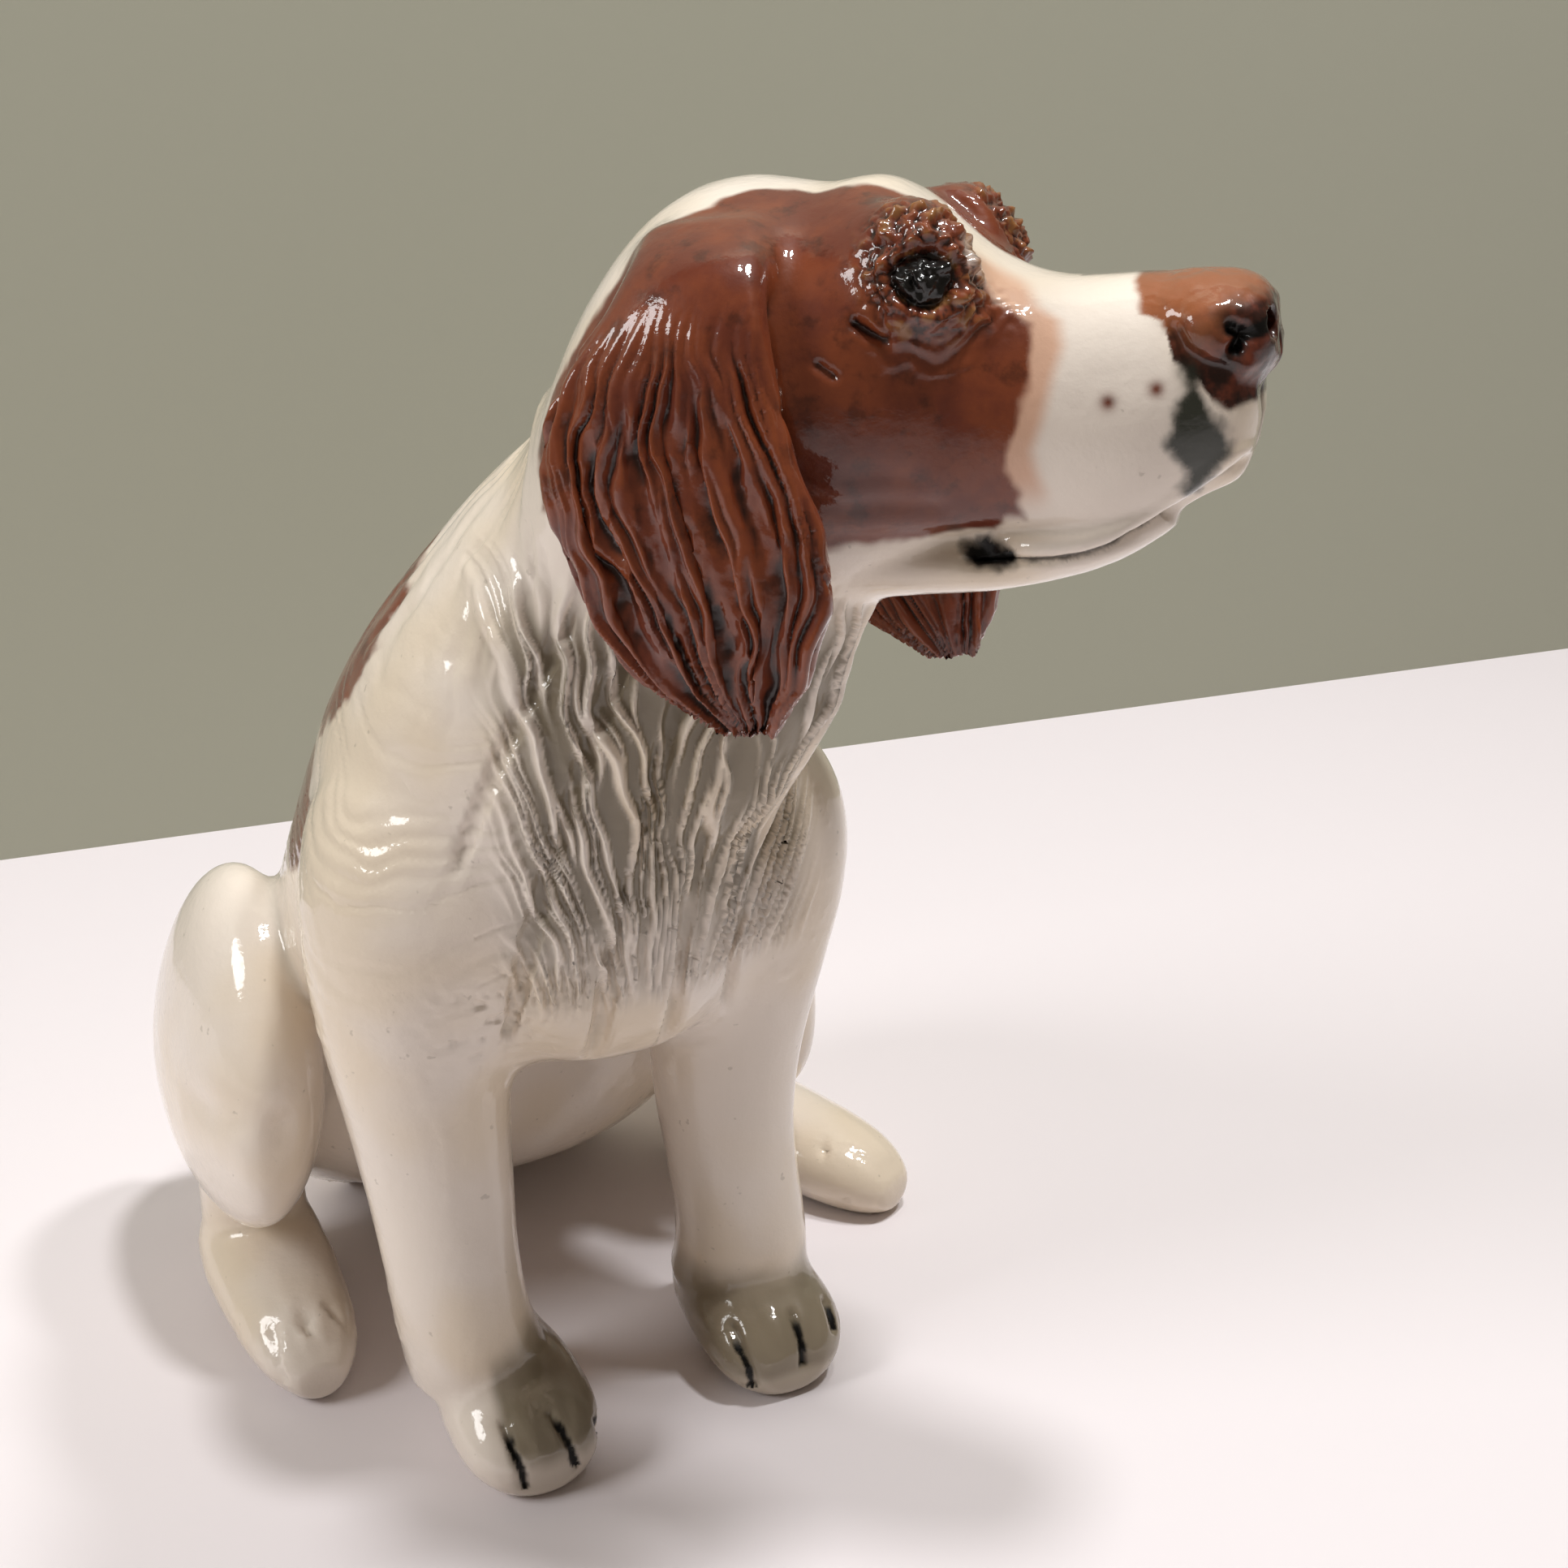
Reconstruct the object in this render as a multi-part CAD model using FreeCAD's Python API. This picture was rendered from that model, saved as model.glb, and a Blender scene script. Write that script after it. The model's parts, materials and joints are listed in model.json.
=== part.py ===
import FreeCAD, Part

import math
import os

# A seated spaniel in glazed earthenware. Its pieces are cast or pressed one by one and stuck
# together with slip: a hollow trunk, a head with its own lower jaw, nose, eyes and brows, two
# ears, two forelegs, two haunches, two hind feet and a docked tail. The dog sits facing -Y with
# its left side towards +X, and looks up and round over its left shoulder.
# All lengths are in millimetres. The origin is on the ground, under the middle of the figure.

Vector = FreeCAD.Vector

# Where the seat rests, behind and to the left of the middle of the whole figure
seat_behind = 28.0
seat_aside = -4.1

# Trunk: from the ground to the top of the neck stub, which sits inside the skull
trunk_height = 120.0
trunk_lean = 52.0
neck_swing = 9.0
trunk_half_width = 30.0
trunk_half_depth = 29.0
casting_wall = 3.2
vent_radius = 1.5

# Forelegs: the paws stand this far before the seat and to each side
foreleg_height = 84.0
foreleg_reach = 48.5
left_foreleg_back = 3.5
foreleg_aside = 17.0
foreleg_lean = 3.0
foreleg_half_width = 11.0
foreleg_half_depth = 13.0
paw_length = 26.5
paw_half_width = 8.9
paw_height = 14.0

# Haunches, each with the shin under it
haunch_length = 44.0
haunch_half_width = 9.0
haunch_half_height = 24.0
haunch_beyond_trunk = 3.0
haunch_lean = 3.3
haunch_centre_height = 36.0
haunch_before_seat = 5.0
haunch_tilt_degrees = 7.0
shin_radius = 7.2

# Hind feet
hind_foot_length = 36.5
hind_foot_half_width = 8.0
hind_foot_height = 13.0
left_hind_foot_splay_degrees = 27.0

# Docked tail
tail_length = 14.0
tail_radius = 5.5
tail_height = 13.0

# Head: its middle lies above the top of the neck stub, and its own axes point to the muzzle's
# tip, to the dog's left and to the crown
skull_before_neck = 2.0
skull_aside_neck = -1.0
skull_above_neck = 8.0
head_turn_degrees = 48.2
head_lift_degrees = 9.7
head_tilt_degrees = 8.0
muzzle_length = 56.0
skull_length = 15.0
head_half_width = 20.0
head_half_height = 21.0

# Lower jaw and nose
jaw_length = 36.0
jaw_half_width = 9.0
jaw_half_height = 4.3
nose_length = 13.0
nose_half_width = 8.0
nose_half_height = 5.6
nostril_radius = 1.4

# Eyes and the clay built up round them
eye_radius = 3.3
lid_thickness = 1.8
brow_height = 7.5

# Ears
ear_length = 46.8
ear_half_width = 13.3
ear_half_thickness = 3.2
left_ear_swing = 10.0
left_ear_drop = 3.0

# Round tools that press the main grooves of the coat and toes into the clay
comb_radius = 1.2
toe_tool_radius = 1.1

# How far a cutting tool runs past what it cuts
cut_overrun = 5.0

# The weight of a conic's middle pole that makes a true quarter of an ellipse
ellipse_weight = math.sqrt(0.5)

UP = Vector(0, 0, 1)
LEFT = Vector(1, 0, 0)
FORWARD = Vector(0, -1, 0)
SIDES = {"right": -1, "left": 1}


class Axes:
    """An origin with a forward, a left and an up direction."""

    def __init__(self, origin, forward=FORWARD, left=LEFT, up=UP):
        self.origin = origin
        self.forward = forward
        self.left = left
        self.up = up

    def point(self, forward, left, up):
        return self.origin + self.forward * forward + self.left * left + self.up * up

    def moved(self, forward, left, up):
        """The same directions at another origin."""
        return Axes(self.point(forward, left, up), self.forward, self.left, self.up)

    def direction(self, forward, left, up):
        return (self.forward * forward + self.left * left + self.up * up).normalize()

    def turned(self, axis, degrees):
        """The same axes, turned about a direction through their origin."""
        turn = FreeCAD.Rotation(axis, degrees)
        return Axes(self.origin, *[turn.multVec(side) for side in (self.forward, self.left, self.up)])


def seat_axes():
    return Axes(Vector(seat_aside, seat_behind, 0))


def skull_axes():
    """The head's axes: turned to the left, lifted, then tilted with the left side lower."""
    neck_top = seat_axes().moved(trunk_lean, neck_swing, trunk_height)
    axes = neck_top.moved(skull_before_neck, skull_aside_neck, skull_above_neck)
    axes = axes.turned(UP, head_turn_degrees)
    axes = axes.turned(axes.left, -head_lift_degrees)
    return axes.turned(axes.forward, -head_tilt_degrees)


def egg(centre, across, upward, left, right, up, down, fullness=1.0):
    """A closed section of four conic arcs, with its own reach to each side.

    A fullness of 1 gives quarter ellipses, and more fills out the corners.
    """
    spokes = [across * left, upward * up, across * -right, upward * -down]
    edges = []
    for start, end in zip(spokes, spokes[1:] + spokes[:1]):
        arc = Part.BezierCurve()
        arc.setPoles([centre + start, centre + start + end, centre + end])
        arc.setWeight(2, ellipse_weight * fullness)
        edges.append(arc.toShape())
    return Part.Wire(edges)


def loft(sections):
    """A smooth solid through closed sections."""
    return Part.makeLoft(sections, True, False)


def stem_directions(centres, facing, first_direction=None):
    """Where the left and the front of each section point, square to the line of the centres.

    facing is the way that the front points, as nearly as that line allows.
    """
    directions = []
    last = len(centres) - 1
    for index in range(len(centres)):
        along = centres[min(index + 1, last)] - centres[max(index - 1, 0)]
        if index == 0 and first_direction:
            along = Vector(first_direction)
        along.normalize()
        across = along.cross(facing).normalize()
        directions.append((across, across.cross(along)))
    return directions


def stem_sections(centres, facing, reaches, first_direction=None):
    """Egg sections along a line, each with its left, right, front and back reach."""
    directions = stem_directions(centres, facing, first_direction)
    return [egg(centre, *sides, *reach)
            for centre, sides, reach in zip(centres, directions, reaches)]


def over_section(centre, across, upward, aside, above, share):
    """A point on an egg section at a share of its reach to one side, and the way out there."""
    rise = math.sqrt(1 - share * share)
    outward = (across * share * above + upward * rise * aside).normalize()
    return centre + across * share * aside + upward * rise * above, outward


def groove(line, radius, lifts):
    """A round tool along a line of surface points, each given with the way out of the clay.

    Each lift is how far the tool's middle lies above the surface, as a share of its radius: it
    cuts where the lift is below 1.
    """
    centres = [point + outward * lift * radius for (point, outward), lift in zip(line, lifts)]
    directions = [outward for point, outward in line]
    sections = []
    last = len(centres) - 1
    for index, (centre, outward) in enumerate(zip(centres, directions)):
        along = centres[min(index + 1, last)] - centres[max(index - 1, 0)]
        across = along.cross(outward).normalize()
        upward = across.cross(along).normalize()
        sections.append(egg(centre, across, upward, *[radius] * 4))
    return loft(sections)


def row_sections(axes, shares, length, half_width, half_height, fullness=1.0):
    """Upright egg sections, one after another along the forward direction.

    Each row of shares: forward, outward and height of the centre, half width, reach up, down.
    """
    sections = []
    for forward, aside, above, width, up, down in shares:
        centre = axes.point(forward * length, aside * half_width, above * half_height)
        sections.append(egg(centre, axes.left, axes.up, width * half_width, width * half_width,
                            up * half_height, down * half_height, fullness))
    return sections


def cut_at_ground(solid):
    """The solid without whatever is below the ground, so that it stands flat."""
    box = solid.BoundBox
    corner = Vector(box.XMin - cut_overrun, box.YMin - cut_overrun, box.ZMin - cut_overrun)
    slab = Part.makeBox(box.XLength + 2 * cut_overrun, box.YLength + 2 * cut_overrun,
                        cut_overrun - box.ZMin, corner)
    return solid.cut(slab)


def largest_solid(shape):
    """The main solid of a cut, without any loose sliver."""
    return max(shape.Solids, key=lambda solid: solid.Volume)


# Trunk

# Each row: height, forward and aside of the centre, then left, right, front and back reach
trunk_shares = [
    (0.000, -0.20, -0.20, 0.56, 0.60, 0.05, 0.20),
    (0.080, -0.08, -0.20, 0.82, 0.88, 0.24, 0.62),
    (0.233, 0.08, -0.20, 0.97, 1.00, 0.56, 0.94),
    (0.400, 0.27, -0.20, 0.92, 1.00, 0.48, 1.02),
    (0.567, 0.54, -0.15, 0.86, 0.98, 1.00, 1.04),
    (0.700, 0.73, 0.05, 0.77, 0.94, 0.88, 1.02),
    (0.817, 0.85, 0.36, 0.62, 0.80, 0.70, 0.92),
    (0.925, 0.93, 0.72, 0.52, 0.62, 0.56, 0.74),
    (1.000, 1.00, 1.00, 0.44, 0.44, 0.44, 0.44),
]
vent_back_share = 0.45
seat_aside_share = trunk_shares[0][2]
rump_share = 0.85
breast_wall_share = 2.1


def trunk_rows(inset):
    """The centres and reaches of the trunk, or of a surface that lies an inset inside it.

    The wall is thicker in front, where the breast overhangs the belly.
    """
    axes = seat_axes()
    centres = []
    reaches = []
    for height, forward, aside, left, right, front, back in trunk_shares:
        centres.append(axes.point(forward * trunk_lean, aside * neck_swing,
                                  height * trunk_height))
        reaches.append((left * trunk_half_width - inset, right * trunk_half_width - inset,
                        front * trunk_half_depth - breast_wall_share * inset,
                        back * trunk_half_depth - inset))
    return centres, reaches


def trunk_sections(inset):
    centres, reaches = trunk_rows(inset)
    return stem_sections(centres, FORWARD, reaches, first_direction=UP)


def trunk_form():
    return loft(trunk_sections(0))


# The main grooves of the combed breast: how far each lies to the left, and the tool's lift at
# the rows of the trunk that it passes, from the first one
breast_groove_shares = (-0.74, -0.46, -0.14, 0.18, 0.50)
breast_first_row = 3
breast_lift_shares = (3.4, 1.0, 0.25, 0.30, 0.7, 3.0)


def breast_grooves():
    centres, reaches = trunk_rows(0)
    directions = stem_directions(centres, FORWARD, first_direction=UP)
    rows = list(zip(centres, directions, reaches))[breast_first_row:]
    grooves = []
    for share in breast_groove_shares:
        line = []
        for centre, (across, front), (left, right, ahead, back) in rows:
            aside = left if share > 0 else right
            line.append(over_section(centre, across, front, aside, ahead, share))
        grooves.append(groove(line, comb_radius, breast_lift_shares))
    return grooves


def make_trunk():
    """The hollow casting, closed at the seat but for a pin-hole that lets steam out."""
    hollow = loft(trunk_sections(casting_wall)[1:-1])
    vent_foot = seat_axes().point(-vent_back_share * trunk_half_depth,
                                  seat_aside_share * neck_swing, -cut_overrun)
    vent = Part.makeCylinder(vent_radius, trunk_height / 2, vent_foot)
    return trunk_form().cut(hollow.fuse(vent)).cut(breast_grooves())


# Forelegs

# Each row: height, back from and beside the paw's middle, lean, half width, half depth
foreleg_shares = [
    (1.00, 0.20, -0.28, 0.7, 0.80, 0.80),
    (0.76, 0.16, 0.28, 0.7, 1.00, 1.00),
    (0.55, 0.15, 0.15, 1.0, 0.88, 0.80),
    (0.32, 0.09, 0.11, 1.0, 0.73, 0.68),
    (0.12, 0.08, 0.06, 0.4, 0.79, 0.70),
]

# Each row: forward from the heel, aside, height of the centre, half width, reach up, down
paw_shares = [
    (0.00, 0.00, 0.42, 0.50, 0.28, 0.36),
    (0.28, 0.00, 0.46, 0.90, 0.50, 0.50),
    (0.64, 0.00, 0.43, 1.00, 0.47, 0.50),
    (0.90, 0.00, 0.38, 0.84, 0.32, 0.42),
    (1.00, 0.00, 0.34, 0.44, 0.12, 0.24),
]
paw_fullness = 1.12

# The grooves between the toes: how far each lies to the left, and the tool's lift at the rows
# of the foot that it passes, from the first one
toe_groove_shares = (-0.42, 0.04, 0.48)
toe_first_row = 1
toe_lift_shares = (3.0, 0.9, 0.35, 0.35)


def toe_grooves(axes, shares, length, half_width, height):
    grooves = []
    for share in toe_groove_shares:
        line = []
        for forward, aside, above, width, up, down in shares[toe_first_row:]:
            centre = axes.point(forward * length, aside * half_width, above * height)
            line.append(over_section(centre, axes.left, axes.up, width * half_width, up * height,
                                     share))
        grooves.append(groove(line, toe_tool_radius, toe_lift_shares))
    return grooves


def make_foreleg(side):
    """A foreleg on its paw. The left paw stands further back than the right one."""
    axes = seat_axes()
    paw_back = left_foreleg_back if side == SIDES["left"] else 0
    centres = []
    reaches = []
    for height, back, aside, lean, width, depth in foreleg_shares:
        ahead = foreleg_reach * (1 - back) - paw_back * (1 - height)
        out = side * foreleg_aside * (1 + aside) - lean * foreleg_lean
        centres.append(axes.point(ahead, out, height * foreleg_height))
        reaches.append((width * foreleg_half_width, width * foreleg_half_width,
                        depth * foreleg_half_depth, depth * foreleg_half_depth))
    leg = loft(stem_sections(centres, FORWARD, reaches))
    heel = axes.moved(foreleg_reach - paw_back - paw_length / 2, side * foreleg_aside, 0)
    paw = loft(row_sections(heel, paw_shares, paw_length, paw_half_width, paw_height, paw_fullness))
    return leg.fuse(paw).cut(toe_grooves(heel, paw_shares, paw_length, paw_half_width, paw_height))


# Haunches and hind feet

# Each row: forward from the middle, outward and height of the centre, half width, reach up, down
haunch_shares = [
    (-0.52, -0.20, -0.40, 0.24, 0.16, 0.16),
    (-0.42, -0.16, -0.28, 0.70, 0.54, 0.52),
    (-0.10, 0.00, 0.00, 1.00, 0.99, 0.92),
    (0.26, 0.04, 0.04, 0.92, 0.88, 0.84),
    (0.46, 0.06, 0.00, 0.62, 0.52, 0.56),
    (0.53, 0.08, -0.02, 0.22, 0.18, 0.20),
]

# Each row: height, radius
shin_shares = [
    (1.00, 1.00),
    (0.55, 0.92),
    (0.30, 0.94),
    (0.00, 0.96),
]
shin_seat_share = 0.42

# As for the forepaw
hind_foot_shares = [
    (0.00, 0.00, 0.46, 0.50, 0.28, 0.36),
    (0.18, 0.00, 0.48, 0.96, 0.50, 0.52),
    (0.58, 0.00, 0.44, 0.97, 0.46, 0.50),
    (0.88, 0.00, 0.38, 0.72, 0.36, 0.42),
    (1.00, 0.00, 0.33, 0.36, 0.14, 0.24),
]


def haunch_axes(side):
    """Axes on the ground under the middle of a haunch."""
    aside = side * (trunk_half_width + haunch_beyond_trunk) - haunch_lean
    return seat_axes().moved(haunch_before_seat, aside, 0)


def mirrored(shares, side):
    """Rows of shares with their outward place on the given side."""
    return [(forward, side * outward, *rest) for forward, outward, *rest in shares]


def make_haunch(side):
    """A haunch that leans in to the trunk, with the shin that stands in the hind foot."""
    axes = haunch_axes(side)
    middle = axes.moved(0, 0, haunch_centre_height).turned(FORWARD, side * haunch_tilt_degrees)
    haunch = loft(row_sections(middle, mirrored(haunch_shares, side), haunch_length,
                               haunch_half_width, haunch_half_height))
    foot = shin_seat_share * hind_foot_height
    shin_sections = []
    for height, radius in shin_shares:
        centre = axes.point(0, 0, foot + height * (haunch_centre_height - foot))
        shin_sections.append(egg(centre, axes.left, axes.forward, *[radius * shin_radius] * 4))
    return haunch.fuse(loft(shin_sections))


def make_hind_foot(side):
    """A foot whose heel lies under the shin. Only the left one points outward."""
    splay = left_hind_foot_splay_degrees if side == SIDES["left"] else 0
    heel = haunch_axes(side).moved(-shin_radius, 0, 0).turned(UP, side * splay)
    foot = loft(row_sections(heel, hind_foot_shares, hind_foot_length, hind_foot_half_width,
                             hind_foot_height))
    return foot.cut(toe_grooves(heel, hind_foot_shares, hind_foot_length, hind_foot_half_width,
                                hind_foot_height))


# Tail

# Each row: back from the root, drop, radius
tail_shares = [
    (-0.50, -0.10, 1.00),
    (0.25, 0.04, 1.00),
    (0.72, 0.20, 0.80),
    (1.00, 0.36, 0.34),
]


def make_tail():
    """A docked tail, which leaves the rump and droops."""
    axes = seat_axes()
    centres = []
    reaches = []
    for back, drop, radius in tail_shares:
        centres.append(axes.point(-rump_share * trunk_half_depth - back * tail_length,
                                  seat_aside_share * neck_swing,
                                  tail_height - drop * tail_length))
        reaches.append([radius * tail_radius] * 4)
    return loft(stem_sections(centres, axes.up, reaches))


# Head

# Each row: back from the skull's middle, height of the line of greatest width, half width,
# reach up and down, fullness
skull_shares = [
    (1.00, -0.20, 0.46, 0.34, 0.52, 1.0),
    (0.62, -0.08, 0.82, 0.58, 0.82, 1.0),
]

# The same, forward from the skull's middle along the muzzle
muzzle_shares = [
    (0.00, 0.05, 0.99, 0.90, 0.98, 1.0),
    (0.18, 0.10, 1.00, 0.92, 1.02, 1.0),
    (0.34, 0.12, 0.90, 0.85, 1.00, 1.1),
    (0.46, 0.10, 0.76, 0.75, 0.90, 1.2),
    (0.56, -0.06, 0.61, 0.66, 0.70, 1.2),
    (0.68, -0.14, 0.54, 0.58, 0.66, 1.2),
    (0.82, -0.14, 0.49, 0.55, 0.57, 1.2),
    (0.93, -0.16, 0.39, 0.46, 0.42, 1.1),
    (0.98, -0.18, 0.30, 0.34, 0.25, 1.0),
    (1.00, -0.16, 0.20, 0.22, 0.11, 1.0),
]


def head_form():
    axes = skull_axes()
    rows = [(-back * skull_length, *rest) for back, *rest in skull_shares]
    rows += [(forward * muzzle_length, *rest) for forward, *rest in muzzle_shares]
    sections = []
    for forward, above, width, up, down, fullness in rows:
        sections.append(egg(axes.point(forward, 0, above * head_half_height), axes.left, axes.up,
                            width * head_half_width, width * head_half_width,
                            up * head_half_height, down * head_half_height, fullness))
    return loft(sections)


# Each row: forward along the jaw, aside, height of the centre, half width, reach up, down
jaw_shares = [
    (0.00, 0.00, -0.15, 0.60, 0.80, 0.70),
    (0.24, 0.00, 0.00, 1.00, 0.95, 1.00),
    (0.58, 0.00, -0.02, 0.96, 0.80, 0.92),
    (0.86, 0.00, 0.30, 0.80, 0.60, 0.74),
    (1.00, 0.00, 0.62, 0.50, 0.40, 0.40),
]
jaw_tip_share = 0.84
jaw_drop_share = 0.785


def make_lower_jaw():
    """The jaw, whose tip stops a little short of the upper lip's."""
    hinge = skull_axes().moved(jaw_tip_share * muzzle_length - jaw_length, 0,
                               -jaw_drop_share * head_half_height)
    return loft(row_sections(hinge, jaw_shares, jaw_length, jaw_half_width, jaw_half_height))


# Each row: forward from the back of the nose, aside, height of the centre, half width, reach
# up, down
nose_shares = [
    (0.00, 0.00, 0.46, 0.56, 0.40, 0.40),
    (0.28, 0.00, 0.10, 0.92, 0.84, 1.04),
    (0.62, 0.00, -0.10, 1.00, 1.04, 1.08),
    (0.88, 0.00, -0.12, 0.84, 0.84, 0.84),
    (1.00, 0.00, -0.12, 0.40, 0.38, 0.40),
]
nose_fullness = 1.15
nose_overhang_share = 0.16
nose_rise_share = 0.15
nostril_aside_share = 0.46
nostril_depth_share = 0.45


def make_nose():
    """The nose pad, with its two nostrils, which overhangs the tip of the muzzle."""
    start = muzzle_length - (1 - nose_overhang_share) * nose_length
    axes = skull_axes().moved(start, 0, nose_rise_share * head_half_height)
    nose = loft(row_sections(axes, nose_shares, nose_length, nose_half_width, nose_half_height,
                             nose_fullness))
    for side in SIDES.values():
        outward = axes.direction(1, side * nostril_aside_share, 0)
        bottom = axes.point(nose_length, side * nostril_aside_share * nose_half_width, 0)
        bottom -= outward * nostril_depth_share * nose_length
        nose = nose.cut(Part.makeCylinder(nostril_radius, nose_length, bottom, outward))
    return nose


# Where an eye sits on the head, and which way it looks: forward, outward, up
eye_place_share = (0.49, 0.65, 0.515)
eye_look_share = (0.40, 1.00, 0.15)
eye_back_angle = -30
eye_front_angle = 90
full_turn = 360


def eye_centre(side):
    forward, outward, above = eye_place_share
    return skull_axes().point(forward * muzzle_length, side * outward * head_half_width,
                              above * head_half_height)


def eye_direction(side):
    forward, outward, above = eye_look_share
    return skull_axes().direction(forward, side * outward, above)


def make_eye(side):
    """A clay pellet with a round front, pressed flat against the back of its socket."""
    return Part.makeSphere(eye_radius, eye_centre(side), eye_direction(side), eye_back_angle,
                           eye_front_angle, full_turn)


# Each row: outward from the eye's centre, width
brow_shares = [
    (-1.20, 1.00),
    (-0.10, 1.00),
    (0.45, 0.84),
    (0.80, 0.50),
]


def make_brow(side):
    """The clay built up round an eye: the lids, and the heavier brow above them."""
    outward = eye_direction(side)
    level = skull_axes().up.cross(outward).normalize()
    rise = outward.cross(level)
    sections = []
    for depth, width in brow_shares:
        centre = eye_centre(side) + outward * depth * eye_radius
        around = width * (eye_radius + lid_thickness)
        sections.append(egg(centre, level, rise, around, around, width * brow_height, around))
    return loft(sections)


# Ears

# Each row: down from the fold, forward, outward, half width, half thickness
ear_shares = [
    (0.02, 0.30, -2.80, 0.30, 0.60),
    (0.09, 0.32, -0.64, 0.50, 0.95),
    (0.22, 0.14, 0.04, 0.74, 1.00),
    (0.40, 0.02, 0.24, 0.94, 1.00),
    (0.58, 0.12, 0.20, 1.00, 1.00),
    (0.75, 0.20, 0.08, 0.90, 0.96),
    (0.90, 0.26, -0.08, 0.58, 0.80),
    (1.00, 0.34, -0.20, 0.20, 0.45),
]
ear_place_share = (0.15, 1.05, 0.82)

# The main grooves of an ear's hair: how far forward each lies, and the tool's lift at the rows
# that it passes, from the first one
ear_groove_shares = (-0.56, -0.16, 0.22, 0.60)
ear_first_row = 2
ear_lift_shares = (2.2, 0.5, 0.3, 0.25, 0.3, 0.5)


def make_ear(side):
    """A long ear that hangs beside the skull. The left one swings forward and hangs lower."""
    on_left = side == SIDES["left"]
    swing = left_ear_swing if on_left else 0
    length = ear_length + (left_ear_drop if on_left else 0)
    forward, outward, above = ear_place_share
    fold = skull_axes().moved(forward * head_half_width, side * outward * head_half_width,
                              above * head_half_height)
    outward_face = fold.left * side
    sections = []
    lines = [[] for share in ear_groove_shares]
    for down, ahead, out, width, thickness in ear_shares:
        centre = fold.point(ahead * ear_half_width + down * swing,
                            side * out * ear_half_thickness, -down * length)
        reach = width * ear_half_width
        depth = thickness * ear_half_thickness
        sections.append(egg(centre, fold.forward, outward_face, reach, reach, depth, depth))
        for line, share in zip(lines, ear_groove_shares):
            line.append(over_section(centre, fold.forward, outward_face, reach, depth, share))
    tools = [groove(line[ear_first_row:], comb_radius, ear_lift_shares) for line in lines]
    return loft(sections).cut(tools)


# The assembly


def make_nodes():
    """Every piece, each cut back by the pieces that it is stuck to."""
    trunk = trunk_form()
    head = head_form()
    nose = make_nose()
    nodes = {"trunk": make_trunk(), "nose": nose, "lower_jaw": make_lower_jaw().cut([head, trunk])}
    eyes = []
    for name, side in SIDES.items():
        eye = make_eye(side)
        eyes.append(eye)
        haunch = make_haunch(side)
        nodes[name + "_eye"] = eye
        nodes[name + "_brow"] = make_brow(side).cut([head, eye])
        nodes[name + "_ear"] = make_ear(side).cut([head, trunk])
        nodes[name + "_foreleg"] = cut_at_ground(make_foreleg(side)).cut(trunk)
        nodes[name + "_haunch"] = haunch.cut(trunk)
        nodes[name + "_hind_foot"] = cut_at_ground(make_hind_foot(side)).cut([haunch, trunk])
    nodes["head"] = head.cut([trunk, nose, *eyes])
    nodes["tail"] = make_tail().cut(trunk)
    return {name: largest_solid(shape) for name, shape in nodes.items()}


os.makedirs("parts", exist_ok=True)
for name, shape in make_nodes().items():
    shape.exportStep("parts/" + name + ".step")
    print(name, shape.isValid(), round(shape.Volume))
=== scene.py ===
import dataclasses
import itertools
import json
import math

import bpy
import numpy as np
import openvdb as vdb
from mathutils import Euler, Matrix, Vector


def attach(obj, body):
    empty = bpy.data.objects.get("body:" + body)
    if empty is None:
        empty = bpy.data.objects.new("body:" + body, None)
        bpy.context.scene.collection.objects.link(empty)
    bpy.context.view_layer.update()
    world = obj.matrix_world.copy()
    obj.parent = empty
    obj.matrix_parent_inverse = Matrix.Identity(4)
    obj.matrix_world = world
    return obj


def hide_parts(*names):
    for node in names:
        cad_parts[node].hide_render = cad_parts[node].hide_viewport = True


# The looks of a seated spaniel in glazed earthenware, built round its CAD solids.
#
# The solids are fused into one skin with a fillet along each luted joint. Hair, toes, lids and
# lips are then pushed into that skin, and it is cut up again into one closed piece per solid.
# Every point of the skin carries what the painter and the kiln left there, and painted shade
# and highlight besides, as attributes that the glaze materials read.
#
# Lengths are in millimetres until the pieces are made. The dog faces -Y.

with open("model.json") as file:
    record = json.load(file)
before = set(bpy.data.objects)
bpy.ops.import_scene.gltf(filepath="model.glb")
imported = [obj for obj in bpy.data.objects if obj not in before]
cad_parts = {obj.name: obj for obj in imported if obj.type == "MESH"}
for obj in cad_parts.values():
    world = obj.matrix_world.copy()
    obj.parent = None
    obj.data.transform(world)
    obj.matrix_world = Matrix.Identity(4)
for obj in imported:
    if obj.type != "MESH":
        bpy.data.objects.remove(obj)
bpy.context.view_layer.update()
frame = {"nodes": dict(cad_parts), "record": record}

MM = 0.001
VOXEL = 0.6
BAND = 8.0
SEAM_SMOOTHING = 6
HOLLOW_SMOOTHING = 9

SIDES = {"right": -1, "left": 1}

# The head's own axes: the middle of the skull, and how the head is turned, lifted and tilted
SKULL_MIDDLE = np.array([3.9, -26.0, 128.0])
HEAD_TURN = 48.2
HEAD_LIFT = 9.7
HEAD_TILT = 8.0

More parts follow.
